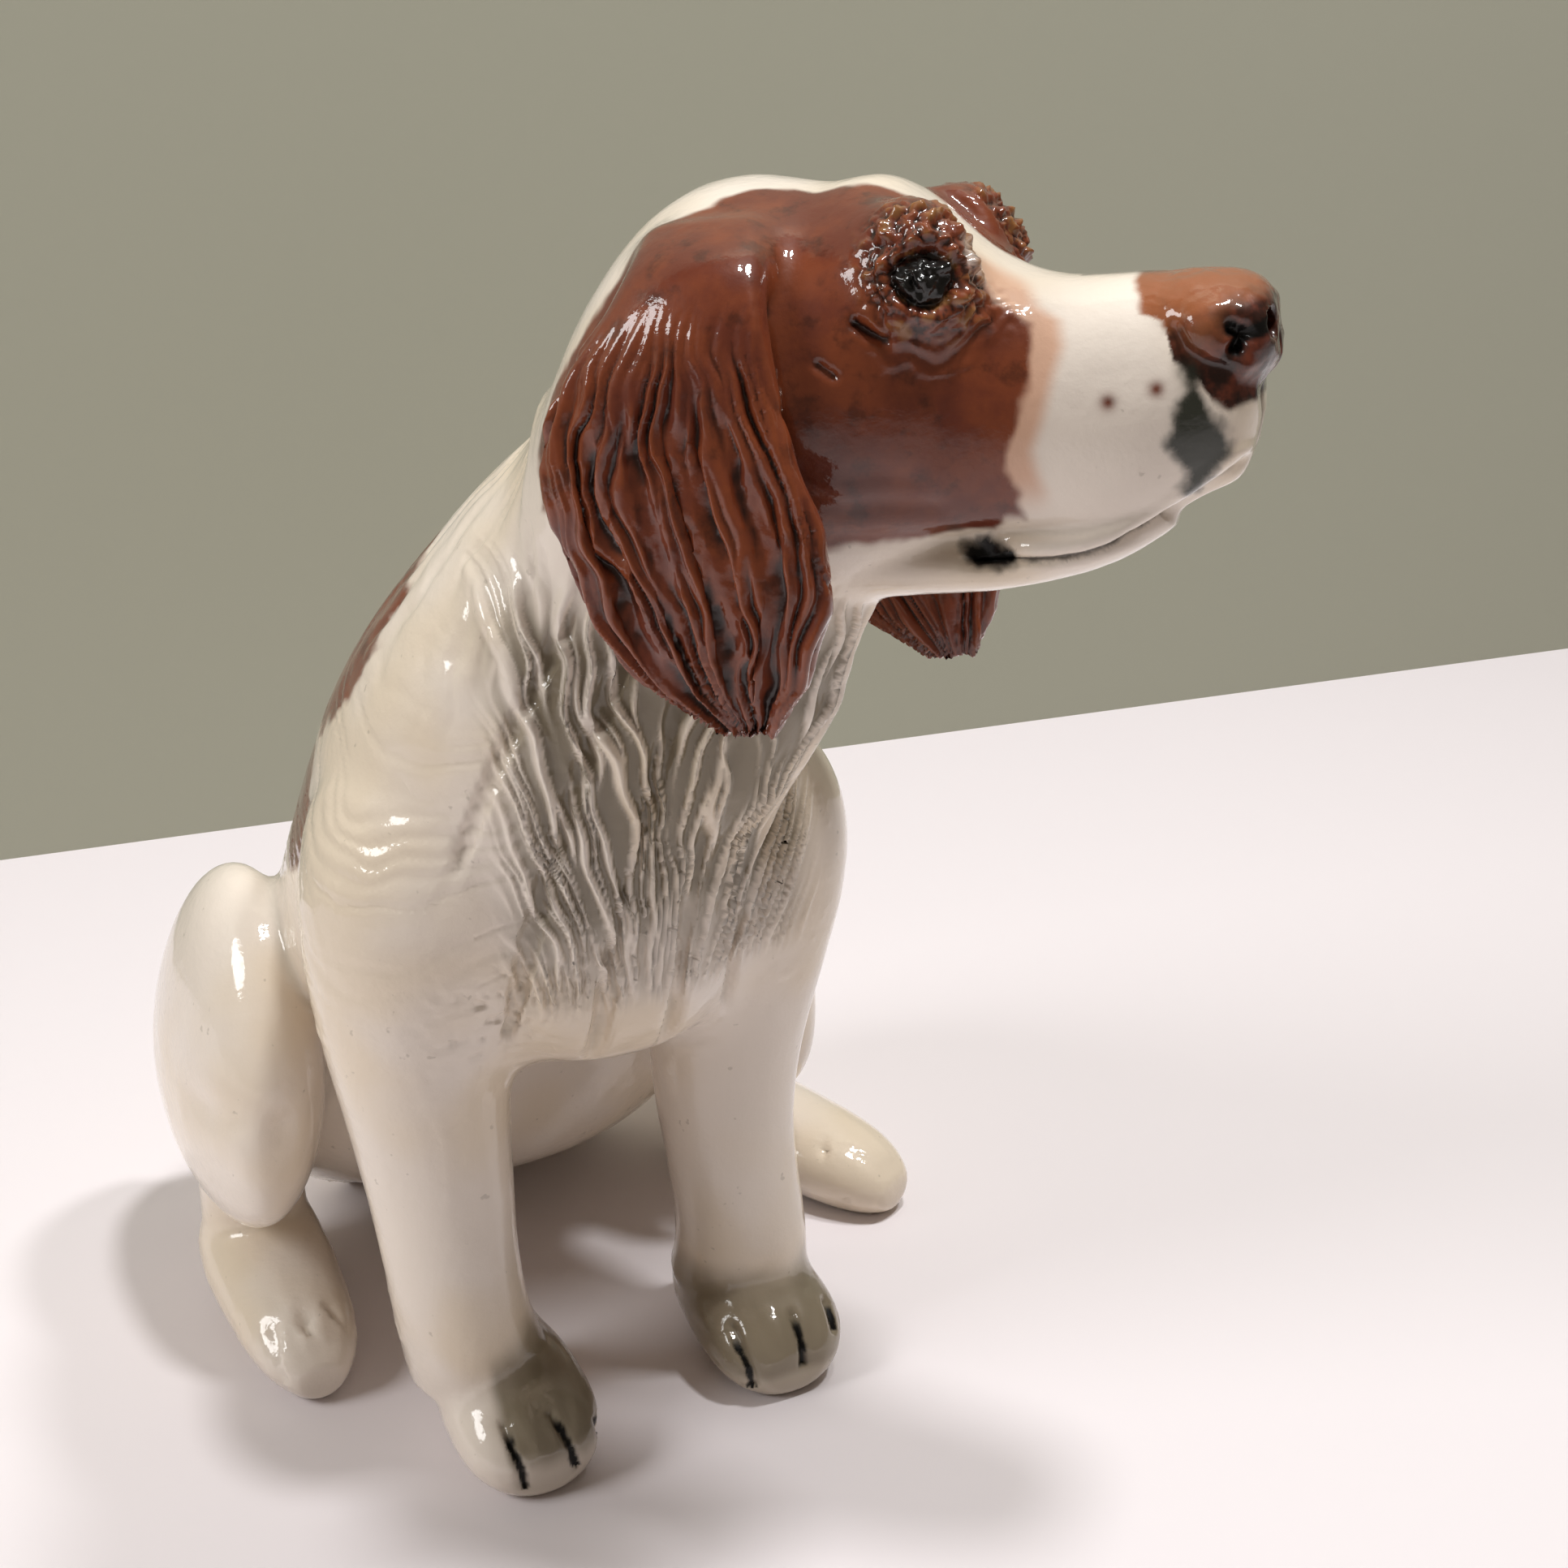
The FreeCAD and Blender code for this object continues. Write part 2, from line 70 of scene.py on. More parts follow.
# Radius of the fillet where each piece joins the ones named before it
FILLETS = {
    "trunk": 0.0,
    "left_haunch": 3.0,
    "right_haunch": 3.0,
    "left_foreleg": 6.0,
    "right_foreleg": 6.0,
    "left_hind_foot": 1.6,
    "right_hind_foot": 1.6,
    "tail": 2.5,
    "head": 9.0,
    "throat": 6.0,
    "lower_jaw": 1.4,
    "nose": 1.0,
    "left_brow": 3.6,
    "right_brow": 3.6,
    "left_eye": 0.5,
    "right_eye": 0.5,
    "left_ear": 6.0,
    "right_ear": 6.0,
}
FINE_NODES = ["head", "lower_jaw", "nose", "left_brow", "right_brow", "left_eye", "right_eye",
              "left_ear", "right_ear"]
CASTING_WALL = 3.2
FREE_EAR_FILLET = 0.5
EAR_FOLD_REGION = (6, 16)

# The solids' wide toe grooves are closed up here, and finer ones are pressed in their place
CLOSED_NODES = ["left_foreleg", "right_foreleg", "left_hind_foot", "right_hind_foot"]
CLOSING_RADIUS = 2.4


def head_axes():
    """The head's forward, left and up directions, as rows."""
    turn = math.radians(HEAD_TURN)
    lift = math.radians(HEAD_LIFT)
    tilt = math.radians(HEAD_TILT)
    level = np.array([math.sin(turn), -math.cos(turn), 0.0])
    forward = level * math.cos(lift) + np.array([0, 0, math.sin(lift)])
    aside = np.cross([0, 0, 1], level)
    above = np.cross(forward, aside)
    left = aside * math.cos(tilt) - above * math.sin(tilt)
    return np.array([forward, left, np.cross(forward, left)])


HEAD_AXES = head_axes()


def lengths(rows):
    return np.linalg.norm(rows, axis=1)


def rise(value, low, high):
    """0 below low, 1 above high and a smooth change between them."""
    share = np.clip((value - low) / (high - low), 0, 1)
    return share * share * (3 - 2 * share)


def fade(value, low, high):
    """1 below low, 0 above high and a smooth change between them."""
    return 1 - rise(value, low, high)


def window(value, start, full, fading, end):
    """1 from full to fading, and 0 before the start and after the end."""
    return rise(value, start, full) * fade(value, fading, end)


def bump(distance, radius):
    """A round hill: 1 in the middle, and nearly 0 past the radius."""
    return np.exp(-2.5 * (distance / radius) ** 2)


# Smooth noise


NOISE_KEYS = np.random.default_rng(7).permutation(256)
NOISE_SLOPES = np.random.default_rng(11).normal(size=(256, 3))
NOISE_SLOPES /= lengths(NOISE_SLOPES)[:, None]


def noise(points, seed=0):
    """Smooth noise, from about -1 to 1, that turns over once in a unit."""
    cell = np.floor(points).astype(np.int64)
    part = points - cell
    blend = part**3 * (part * (part * 6 - 15) + 10)
    total = np.zeros(len(points))
    for step in itertools.product((0, 1), repeat=3):
        key = np.full(len(points), seed)
        weight = np.ones(len(points))
        for axis, one in enumerate(step):
            key = NOISE_KEYS[(key + cell[:, axis] + one) & 255]
            weight = weight * (blend[:, axis] if one else 1 - blend[:, axis])
        total += weight * np.einsum("ij,ij->i", NOISE_SLOPES[key], part - step)
    return 1.6 * total


def flat_noise(first, second, seed, third=0.0):
    """Smooth noise over two directions."""
    return noise(np.column_stack([first, second, np.full(len(first), third)]), seed)


def rough(points, size, seed=0, octaves=3):
    """Noise with finer and finer detail, the coarsest of the given size."""
    total = np.zeros(len(points))
    for octave in range(octaves):
        total += noise(points * (2**octave / size), seed + 17 * octave) / 2**octave
    return total


# Distances from the solids


class Distances:
    """Signed distances from a surface, on a block of the common lattice."""

    def __init__(self, values, corner):
        self.values = values
        self.corner = np.array(corner)

    def lattice(self):
        """The x, y and z of the block's points, each on its own axis."""
        lines = [(np.arange(n) + c) * VOXEL for n, c in zip(self.values.shape, self.corner)]
        return np.ix_(*lines)

    def at(self, points):
        """Distances at any points, and the band's width where the block ends."""
        place = points / VOXEL - self.corner
        cell = np.floor(place).astype(int)
        inside = np.all((cell >= 0) & (cell < np.array(self.values.shape) - 1), axis=1)
        found = np.full(len(points), BAND)
        cell = cell[inside]
        part = place[inside] - cell
        total = np.zeros(len(cell))
        for step in itertools.product((0, 1), repeat=3):
            weight = np.prod(np.where(step, part, 1 - part), axis=1)
            total += weight * self.values[tuple((cell + step).T)]
        found[inside] = total
        return found


def node_mesh(name):
    """A CAD node's points, in mm, and triangles."""
    mesh = frame["nodes"][name].data
    points = np.empty(len(mesh.vertices) * 3, np.float32)
    mesh.vertices.foreach_get("co", points)
    mesh.calc_loop_triangles()
    triangles = np.empty(len(mesh.loop_triangles) * 3, np.int32)
    mesh.loop_triangles.foreach_get("vertices", triangles)
    return points.reshape(-1, 3) / MM, triangles.reshape(-1, 3).astype(np.uint32)


def level_set(points, **faces):
    return vdb.FloatGrid.createLevelSetFromPolygons(
        points, transform=vdb.createLinearTransform(voxelSize=VOXEL), halfWidth=BAND / VOXEL,
        **faces)


def node_distances(name):
    points, triangles = node_mesh(name)
    grid = level_set(points, triangles=triangles)
    closing = CLOSING_RADIUS if name in CLOSED_NODES else 0
    if closing:
        points, quads = grid.convertToQuads(isovalue=closing)
        grid = level_set(points, quads=quads)
    low, high = grid.evalActiveVoxelBoundingBox()
    values = np.empty(np.subtract(high, low) + 1, np.float32)
    grid.copyToArray(values, ijk=low)
    return Distances(values + np.float32(closing), low)


def fill_casting(trunk):
    """Fills the trunk's hollow, which nothing shows, from above the wall of its seat."""
    solid = trunk.values < 0
    closed = np.ones(solid.shape, bool)
    for axis, backward in ((0, False), (0, True), (1, False), (1, True), (2, True)):
        line = np.flip(solid, axis) if backward else solid
        reached = np.logical_or.accumulate(line, axis=axis)
        closed &= np.flip(reached, axis) if backward else reached
    first_full = int(CASTING_WALL / VOXEL) - trunk.corner[2]
    closed[:, :, :first_full] = False
    trunk.values[closed & ~solid] = -CASTING_WALL / 2


# The throat's loose skin, from under the jaw to the breast: forward, left and up of the skull's
# middle, and the radius
THROAT = [((8, -1, -10), 12.0), ((3, 2, -29), 7.5), ((-3, 3, -37), 7.0)]


def throat_distances():
    """Loose skin that the casting of the trunk has under the jaw."""
    centres = [SKULL_MIDDLE + np.array(place) @ HEAD_AXES for place, radius in THROAT]
    radii = [radius for place, radius in THROAT]
    reach = max(radii) + BAND
    low = np.floor((np.min(centres, axis=0) - reach) / VOXEL).astype(int)
    high = np.ceil((np.max(centres, axis=0) + reach) / VOXEL).astype(int)
    throat = Distances(np.full(high - low, BAND, np.float32), low)
    points = np.stack(np.broadcast_arrays(*throat.lattice()), axis=-1)
    for start, end, thick, thin in zip(centres, centres[1:], radii, radii[1:]):
        run = end - start
        share = np.clip((points - start) @ run / (run @ run), 0, 1)
        distance = np.linalg.norm(points - start - share[..., None] * run, axis=-1)
        distance -= thick + share * (thin - thick)
        np.minimum(throat.values, distance, out=throat.values, casting="unsafe")
    return throat


def smooth_min(first, second, radius):
    """The union of two fields, with a fillet."""
    mix = np.clip(0.5 + 0.5 * (second - first) / radius, 0, 1)
    return second + (first - second) * mix - radius * mix * (1 - mix)


def fillet_radius(name, block):
    """An ear is smoothed in at its fold and hangs free below it."""
    if not name.endswith("_ear"):
        return FILLETS[name]
    height = sum((line - middle) * part
                 for line, middle, part in zip(block.lattice(), SKULL_MIDDLE, HEAD_AXES[2]))
    return FREE_EAR_FILLET + FILLETS[name] * rise(height, *EAR_FOLD_REGION)


def fuse(blocks):
    """One field for the whole figure, flat where it stands."""
    low = np.min([block.corner for block in blocks.values()], axis=0)
    high = np.max([block.corner + block.values.shape for block in blocks.values()], axis=0)
    whole = Distances(np.full(high - low, BAND, np.float32), low)
    for name in FILLETS:
        block = blocks[name]
        start = block.corner - low
        part = whole.values[tuple(slice(a, a + n) for a, n in zip(start, block.values.shape))]
        if FILLETS[name]:
            part[...] = smooth_min(part, block.values, fillet_radius(name, block))
        else:
            part[...] = block.values
    ground = -whole.lattice()[2]
    np.maximum(whole.values, ground, out=whole.values)
    return whole


# The skin


@dataclasses.dataclass
class Skin:
    """Points with four-sided and three-sided faces, and the solid that each face belongs to."""

    points: np.ndarray
    fours: np.ndarray
    threes: np.ndarray
    four_owner: np.ndarray = None
    three_owner: np.ndarray = None

    def spread(self, *pairs):
        """Adds the values of faces to their corners: pairs are faces with a row for each."""
        total = np.zeros_like(self.points)
        for faces, values in pairs:
            for corner in range(faces.shape[1]):
                for axis in range(3):
                    total[:, axis] += np.bincount(faces[:, corner], values[:, axis],
                                                  minlength=len(total))
        return total

    def normals(self):
        fours = self.points[self.fours]
        threes = self.points[self.threes]
        total = self.spread(
            (self.fours, np.cross(fours[:, 2] - fours[:, 0], fours[:, 3] - fours[:, 1])),
            (self.threes, np.cross(threes[:, 1] - threes[:, 0], threes[:, 2] - threes[:, 0])))
        return total / np.maximum(lengths(total), 1e-9)[:, None]

    def evened(self, values, times):
        """Values at the points, each replaced by the mean of its faces, again and again."""
        groups = (self.fours, self.threes)
        count = sum(np.bincount(faces.ravel(), minlength=len(self.points)) for faces in groups)
        for _ in range(times):
            means = [(faces, values[faces].mean(axis=1)) for faces in groups]
            values = self.spread(*means) / count[:, None]
        return values

    def hollowness(self, times):
        """How far each point lies below the evened surface round it, in mm."""
        return np.einsum("ij,ij->i", self.evened(self.points, times) - self.points,
                         self.normals())


def extract(field):
    """The skin where a field is zero."""
    grid = vdb.FloatGrid(BAND)
    grid.copyFromArray(np.ascontiguousarray(field.values), ijk=tuple(int(c) for c in field.corner))
    grid.transform = vdb.createLinearTransform(voxelSize=VOXEL)
    points, faces = grid.convertToQuads(isovalue=0.0)
    return Skin(points.astype(float), faces.astype(int), np.empty((0, 3), int))


def assign_owners(skin, blocks):
    """Gives each face to the nearest solid, and evens out the seams."""
    middles = skin.points[skin.fours].mean(axis=1)
    names = list(FILLETS)
    owner = np.stack([blocks[name].at(middles) for name in names], axis=1).argmin(axis=1)
    owner[owner == names.index("throat")] = names.index("trunk")
    for _ in range(SEAM_SMOOTHING):
        votes = np.zeros((len(skin.points), len(FILLETS)), np.int16)
        for corner in range(4):
            np.add.at(votes, (skin.fours[:, corner], owner), 1)
        owner = votes[skin.fours].sum(axis=1).argmax(axis=1)
    skin.four_owner = owner


def refine(skin, chosen):
    """Divides the chosen faces in four, and fans their neighbours round the new points."""
    count = len(skin.points)

    def edge_keys(faces):
        pairs = np.sort(np.stack([faces, np.roll(faces, -1, axis=1)], axis=2), axis=2)
        return pairs[..., 0] * count + pairs[..., 1]

    fine = skin.fours[chosen]
    keys = edge_keys(fine)
    unique, place = np.unique(keys, return_inverse=True)
    place = place.reshape(keys.shape) + count
    middles = skin.points[np.stack([unique // count, unique % count], axis=1)].mean(axis=1)
    split = np.isin(edge_keys(skin.fours), unique)
    fanned = split.any(axis=1) & ~chosen
    centre_faces = np.concatenate([fine, skin.fours[fanned]])
    centre_start = count + len(unique)
    fine_centre = centre_start + np.arange(len(fine))
    fan_centre = centre_start + len(fine) + np.arange(fanned.sum())
    quarters = [np.stack([fine[:, k], place[:, k], fine_centre, place[:, k - 1]], axis=1)
                for k in range(4)]
    threes = []
    three_owner = []
    fan_faces = skin.fours[fanned]
    fan_keys = edge_keys(fan_faces)
    fan_owner = skin.four_owner[fanned]
    for k in range(4):
        first = fan_faces[:, k]
        last = fan_faces[:, (k + 1) % 4]
        cut = split[fanned][:, k]
        middle = count + np.searchsorted(unique, fan_keys[:, k][cut])
        for which, start, end in ((~cut, first[~cut], last[~cut]), (cut, first[cut], middle),
                                  (cut, middle, last[cut])):
            threes.append(np.stack([start, end, fan_centre[which]], axis=1))
            three_owner.append(fan_owner[which])
    plain = ~chosen & ~fanned
    return Skin(np.concatenate([skin.points, middles, skin.points[centre_faces].mean(axis=1)]),
                np.concatenate([skin.fours[plain], *quarters]),
                np.concatenate(threes),
                np.concatenate([skin.four_owner[plain], *[skin.four_owner[chosen]] * 4]),
                np.concatenate(three_owner))


def settle(skin, field, times=2):
    """Moves the points onto the field's zero surface."""
    step = VOXEL / 2
    for _ in range(times):
        slope = np.stack([field.at(skin.points + way) - field.at(skin.points - way)
                          for way in step * np.eye(3)], axis=1)
        slope /= np.maximum(lengths(slope), 1e-6)[:, None]
        skin.points -= slope * np.clip(field.at(skin.points), -VOXEL, VOXEL)[:, None]


# The solids whose flat ends the slip rounds off, and the area of the smallest of these, in mm2
ROUNDED_NODES = ["left_haunch", "right_haunch", "left_hind_foot", "right_hind_foot", "tail"]
SMALLEST_END = 6.0
END_SMOOTHING = 10


def flat_ends(name):
    """The flat ends of a CAD node that look out into the air: their middles and radii."""
    points, triangles = node_mesh(name)
    corners = points[triangles].astype(float)
    normals = np.cross(corners[:, 1] - corners[:, 0], corners[:, 2] - corners[:, 0])
    areas = lengths(normals) / 2
    normals /= np.maximum(2 * areas, 1e-9)[:, None]
    middles = corners.mean(axis=1)
    offsets = np.einsum("ij,ij->i", normals, middles)
    planes = np.round(np.column_stack([normals * 20, offsets * 4])).astype(int)
    _, plane = np.unique(planes, axis=0, return_inverse=True)
    plane = plane.ravel()
    total = np.bincount(plane, areas)
    ends = []
    for number in np.flatnonzero(total > SMALLEST_END):
        chosen = plane == number
        if np.average(normals[chosen, 2], weights=areas[chosen]) > -0.8:
            ends.append((np.average(middles[chosen], axis=0, weights=areas[chosen]),
                         math.sqrt(total[number] / math.pi)))
    return ends


def round_ends(skin):
    """Rounds the flat ends off, as wet slip does."""
    share = np.zeros(len(skin.points))
    for name in ROUNDED_NODES:
        for middle, radius in flat_ends(name):
            distance = lengths(skin.points - middle)
            share = np.maximum(share, bump(distance, 2.2 * radius))
    even = skin.evened(skin.points, END_SMOOTHING)
    skin.points += share[:, None] * (even - skin.points)
    skin.points[:, 2] = np.maximum(skin.points[:, 2], 0)


# Places on the skin


def to_path(points, path):
    """Each point's distance from a broken line, and how far along it that is, from 0 to 1."""
    path = np.array(path, float)
    best = np.full(len(points), np.inf)
    along = np.zeros(len(points))
    for number, (start, end) in enumerate(zip(path, path[1:])):
        run = end - start
        share = np.clip((points - start) @ run / (run @ run), 0, 1)
        distance = lengths(points - start - share[:, None] * run)
        nearer = distance < best
        best[nearer] = distance[nearer]
        along[nearer] = (number + share[nearer]) / (len(path) - 1)
    return best, along


class Places:
    """Where each point of the skin lies on the figure."""

    def __init__(self, points, blocks):
        self.world = points
        head = (points - SKULL_MIDDLE) @ HEAD_AXES.T
        self.forward, self.left, self.up = head.T
        self.aside = np.abs(self.left)
        self.mirrored = np.column_stack([self.forward, self.aside, self.up])
        self.profile = head[:, [0, 2]]
        self.distances = {name: block.at(points) for name, block in blocks.items()}
        throat = self.distances.pop("throat")
        self.distances["trunk"] = np.minimum(self.distances["trunk"], throat)

    def share(self, names, softness):
        """1 on the named solids and 0 on the others, with a soft seam."""
        own = np.min([self.distances[name] for name in names], axis=0)
        others = np.min([d for name, d in self.distances.items() if name not in names], axis=0)
        return rise(others - own, -softness, softness)


def on_line(value, line):
    """The second number of a broken line where its first is a value."""
    return np.interp(value, *np.array(line, float).T)


def spot(points, place, radius):
    """1 at a place, and nearly 0 past the radius from it."""
    return bump(lengths(points - np.array(place)), radius)


def groove(points, path, width):
    """1 on a broken line, and nearly 0 past the width from it."""
    return bump(to_path(points, path)[0], width)


def rings(distance, table):
    """Rings, each given by its radius, width and height."""
    return sum(height * bump(distance - radius, width) for radius, width, height in table)


# Combs: the pitch and the width of the grooves, how many pitches they wander, and how broken
# they are
EAR_COMB = (2.1, 0.5, 0.7, 0.1)
FINE_EAR_COMB = (1.25, 0.3, 0.9, 0.25)
BREAST_COMB = (2.7, 0.42, 1.0, 0.1)
FINE_BREAST_COMB = (1.9, 0.30, 1.0, 0.35)
SHOULDER_COMB = (1.8, 0.42, 1.2, 0.3)
NECK_COMB = (2.1, 0.45, 0.8, 0.1)
BACK_COMB = (2.6, 0.5, 1.0, 0.35)


def comb(across, along, tool, seed):
    """Combed hair: 1 in the middle of each groove and 0 between them."""
    pitch, width, wander, broken = tool
    line = across / pitch + wander * flat_noise(across / (2.5 * pitch), along / (7 * pitch), seed)
    number = np.round(line)
    gap = np.abs(line - number) * pitch
    run = flat_noise(7.3 * number + 0.5, along / (8 * pitch), seed + 1)
    return np.exp(-((gap / width) ** 2)) * rise(run, broken - 0.6, broken)


# The ears' sizes, which are those of the solids
EAR_LENGTH = 46.8
EAR_HALF_WIDTH = 13.3
EAR_FOLD_FORWARD = 3.0
EAR_FOLD_HEIGHT = 17.2
LEFT_EAR_SWING = 10.0
LEFT_EAR_DROP = 3.0

# Each row: down from the fold, ahead, half width, as shares of the ear's length and half width
EAR_SHARES = np.array([
    (0.02, 0.30, 0.30),
    (0.09, 0.32, 0.50),
    (0.22, 0.14, 0.74),
    (0.40, 0.02, 0.94),
    (0.58, 0.12, 1.00),
    (0.75, 0.20, 0.90),
    (0.90, 0.26, 0.58),
    (1.00, 0.34, 0.20),
])

# Depths of an ear's grooves and of the gap under its free edge, heights of its locks and rim,
# and how far the grooves wave from side to side
EAR_GROOVE = 0.95
FINE_EAR_GROOVE = 0.4
EAR_GAP = 0.9
EAR_LOCKS = 0.25
EAR_RIM = 0.5
EAR_WAVE = 1.3


def ear_place(places, side):
    """Across an ear, from -1 at its back edge to 1 at its front, and down it, from 0 to 1."""
    on_left = side == SIDES["left"]
    length = EAR_LENGTH + (LEFT_EAR_DROP if on_left else 0)
    down = (EAR_FOLD_HEIGHT - places.up) / length
    rows, ahead, width = EAR_SHARES.T
    middle = EAR_FOLD_FORWARD + np.interp(down, rows, ahead) * EAR_HALF_WIDTH
    middle = middle + (LEFT_EAR_SWING * down if on_left else 0)
    return (places.forward - middle) / (np.interp(down, rows, width) * EAR_HALF_WIDTH), down


def ear_seam(places, name):
    """How far each point is past the seam of an ear, in mm."""
    others = np.minimum(places.distances["head"], places.distances["trunk"])
    return places.distances[name + "_ear"] - others


# Sculpting: each function returns how far it raises the skin, in mm


def sculpt_ears(places):
    raised = np.zeros(len(places.world))
    for name, side in SIDES.items():
        share, down = ear_place(places, side)
        along = down * EAR_LENGTH
        across = share * EAR_HALF_WIDTH
        across = across + EAR_WAVE * flat_noise(across / 5, along / 4.5, 37, 0.5 * side)
        deep = comb(across, along, EAR_COMB, 31 + side)
        fine = comb(across + 0.7, along, FINE_EAR_COMB, 47 + side)
        hair = EAR_LOCKS * flat_noise(across / 2.2, along / 12, 5)
        hair -= EAR_GROOVE * deep + FINE_EAR_GROOVE * fine * (1 - deep)
        hair *= rise(down, 0.10, 0.34)
        hair += EAR_RIM * bump(share - 0.93, 0.12) * rise(down, 0.05, 0.2)
        raised += places.share([name + "_ear"], 0.6) * hair
        free = rise(down, 0.12, 0.26) * rise(places.aside, 13, 17)
        free *= places.distances[name + "_ear"] < 3
        raised -= EAR_GAP * free * np.exp(-((ear_seam(places, name) / 0.9) ** 2))
    return raised


# The middle of an eye, the way that it looks, and how far its clay reaches behind and round it
EYE_PLACE = np.array([27.4, 13.0, 10.8])
EYE_LOOK = np.array([0.40, 1.00, 0.15]) / np.linalg.norm([0.40, 1.00, 0.15])
EYE_DEPTH = 3.0
EYE_REACH = 14.0

# The lid and the slit inside it, and the folds under it: radius, width and height
LID_RINGS = [(3.9, 0.8, 0.45), (2.6, 0.6, -0.75)]
LID_FOLDS = [(6.1, 0.9, 0.30), (8.0, 1.0, 0.22)]
CRUMB_HEIGHT = 1.3
CRUMB_FOOT = 0.4

# Loose crumbs of clay before the eye: their middle, reach, height and foot
TEAR_PLACE = (33.4, 9.6, 7.8)
TEAR_REACH = 3.4
TEAR_HEIGHT = 0.9
TEAR_FOOT = 0.2


def around_eye(places):
    """Distance from the line that an eye looks along, plain and with dents, and depth along it."""
    offset = places.mirrored - EYE_PLACE
    depth = offset @ EYE_LOOK
    radius = lengths(offset - depth[:, None] * EYE_LOOK)
    return radius, radius + 0.8 * noise(places.world / 2.3, 67), depth


def eye_crumbs(places):
    """How much each point lies in the rough clay round an eye, and how that clay is raised."""
    radius, _, depth = around_eye(places)
    near = (depth > -EYE_DEPTH) * fade(radius, 6.5, 8.5)
    lids = places.share(["left_brow", "right_brow", "left_eye", "right_eye"], 1.6)
    return near * np.maximum(lids, bump(radius - 4.0, 1.2)), rough(places.world, 2.2, 61, 3)


def sculpt_eyes(places):
    _, radius, depth = around_eye(places)
    above = places.up - EYE_PLACE[2]
    near = (depth > -EYE_DEPTH) & (radius < EYE_REACH)
    rim, crumbs = eye_crumbs(places)
    level = 0.35 + 0.65 * rise(above, -5, 0)
    raised = rim * level * (CRUMB_HEIGHT * np.abs(crumbs) - CRUMB_FOOT)
    raised += near * rings(radius, LID_RINGS)
    tear = TEAR_HEIGHT * np.abs(rough(places.world, 1.8, 83, 2)) - TEAR_FOOT
    raised += tear * spot(places.mirrored, TEAR_PLACE, TEAR_REACH)
    folds = rings(radius + 0.9 * noise(places.world / 4.5, 79), LID_FOLDS)
    return raised + near * rise(-above, 1, 4) * folds


# The mouth line from its corner to the front of the lip, forward and up
MOUTH = [(29.4, -15.8), (30.8, -16.2), (32.9, -16.7), (36.3, -17.0), (39.2, -16.9), (42.1, -16.3),
         (44.4, -15.5), (46.5, -14.6), (49.0, -13.2), (51.5, -11.7), (54.6, -9.6)]
MOUTH_DEPTH = 0.8
MOUTH_WIDTH = 0.75
LIP_HEIGHT = 0.35

# The oval pit at the corner of the mouth: its axes' direction and its half lengths
MOUTH_CORNER = np.array([30.2, -15.9])
PIT_AXES = np.array([[0.94, -0.34], [0.34, 0.94]])
PIT_REACH = (3.3, 1.9)
PIT_DEPTH = 2.0

# Folds of the cheek: forward and up, depth and width
CHEEK_FOLDS = [
    ([(15.0, -4.9), (19.0, -6.2), (22.0, -6.4), (24.8, -7.4)], 0.3, 2.2),
    ([(15.0, -7.5), (18.4, -9.3), (22.0, -9.4), (26.1, -10.3)], 0.45, 2.0),
    ([(17.0, -12.4), (22.0, -13.0), (26.0, -13.6)], 0.3, 2.0),
    ([(21.8, 8.0), (23.0, 7.0), (24.4, 6.1)], 0.9, 0.8),
    ([(18.2, 4.7), (19.6, 3.5)], 0.5, 0.7),
]


def mouth_pit(places):
    """1 at the rim of the pit at the corner of the mouth, and less inside it."""
    turned = (places.profile - MOUTH_CORNER) @ PIT_AXES.T
    return lengths(turned / PIT_REACH)


def sculpt_face(places):
    face = places.share(["head", "lower_jaw"], 0.8)
    lips = face * rise(places.aside, 1.5, 4.0)
    line, along = to_path(places.profile, MOUTH)
    open_lip = window(along, 0.45, 0.6, 0.7, 0.85)
    raised = -lips * (MOUTH_DEPTH + 0.7 * open_lip) * bump(line, MOUTH_WIDTH + 0.35 * open_lip)
    above = places.up > on_line(places.forward, MOUTH)
    raised += lips * LIP_HEIGHT * above * bump(line - 1.5, 0.9)
    raised -= lips * PIT_DEPTH * bump(mouth_pit(places), 1.25)
    cheek = face * rise(places.aside, 6, 9)
    for path, depth, width in CHEEK_FOLDS:
        raised -= cheek * depth * groove(places.profile, path, width)
    return raised + face * 0.10 * rough(places.world, 9, 91, 2)


# The nose: its lower edge, forward and up, its back edge, up and forward, and a nostril's slit
NOSE_FOOT = [(46, 4.9), (48.6, 4.2), (49.2, 1.0), (51.3, -0.9), (52.3, -3.0), (53.8, -3.9),
             (56.5, -3.6), (60, -3.6)]
NOSE_BACK = [(-4, 52.0), (1.0, 49.0), (4.6, 48.4), (5.4, 46.4), (8.0, 45.6), (11, 45.0)]
NOSTRIL = [(54.6, 7.2, 3.4), (55.6, 6.9, 2.6), (57.0, 5.6, 3.0), (57.6, 4.2, 3.4)]
NOSTRIL_CORNER = [(54.9, 7.2, 1.4), (55.6, 6.9, 2.9)]
NOSTRIL_HOLE = np.array([57.0, 4.6, 3.0])
NOSTRIL_DEPTH = 1.8

# The lobe above a nostril and the rim below it, each with its height and radius, the groove
# round a nostril's wing, and the groove between the nostrils
NOSE_LOBE = (52.0, 8.0, 3.8)
NOSE_HILLS = [(NOSE_LOBE, 0.75, 3.4), ((55.6, 6.6, -0.4), 0.5, 1.6)]
NOSE_WING = [(49.4, 7.4, 3.6), (50.2, 7.7, 1.8), (51.8, 7.6, 0.4), (54.0, 7.2, -0.6)]
WING_DEPTH = 0.65
PARTING_DEPTH = 0.7


def nostril_distance(places):
    return np.minimum(to_path(places.mirrored, NOSTRIL)[0],
                      to_path(places.mirrored, NOSTRIL_CORNER)[0])


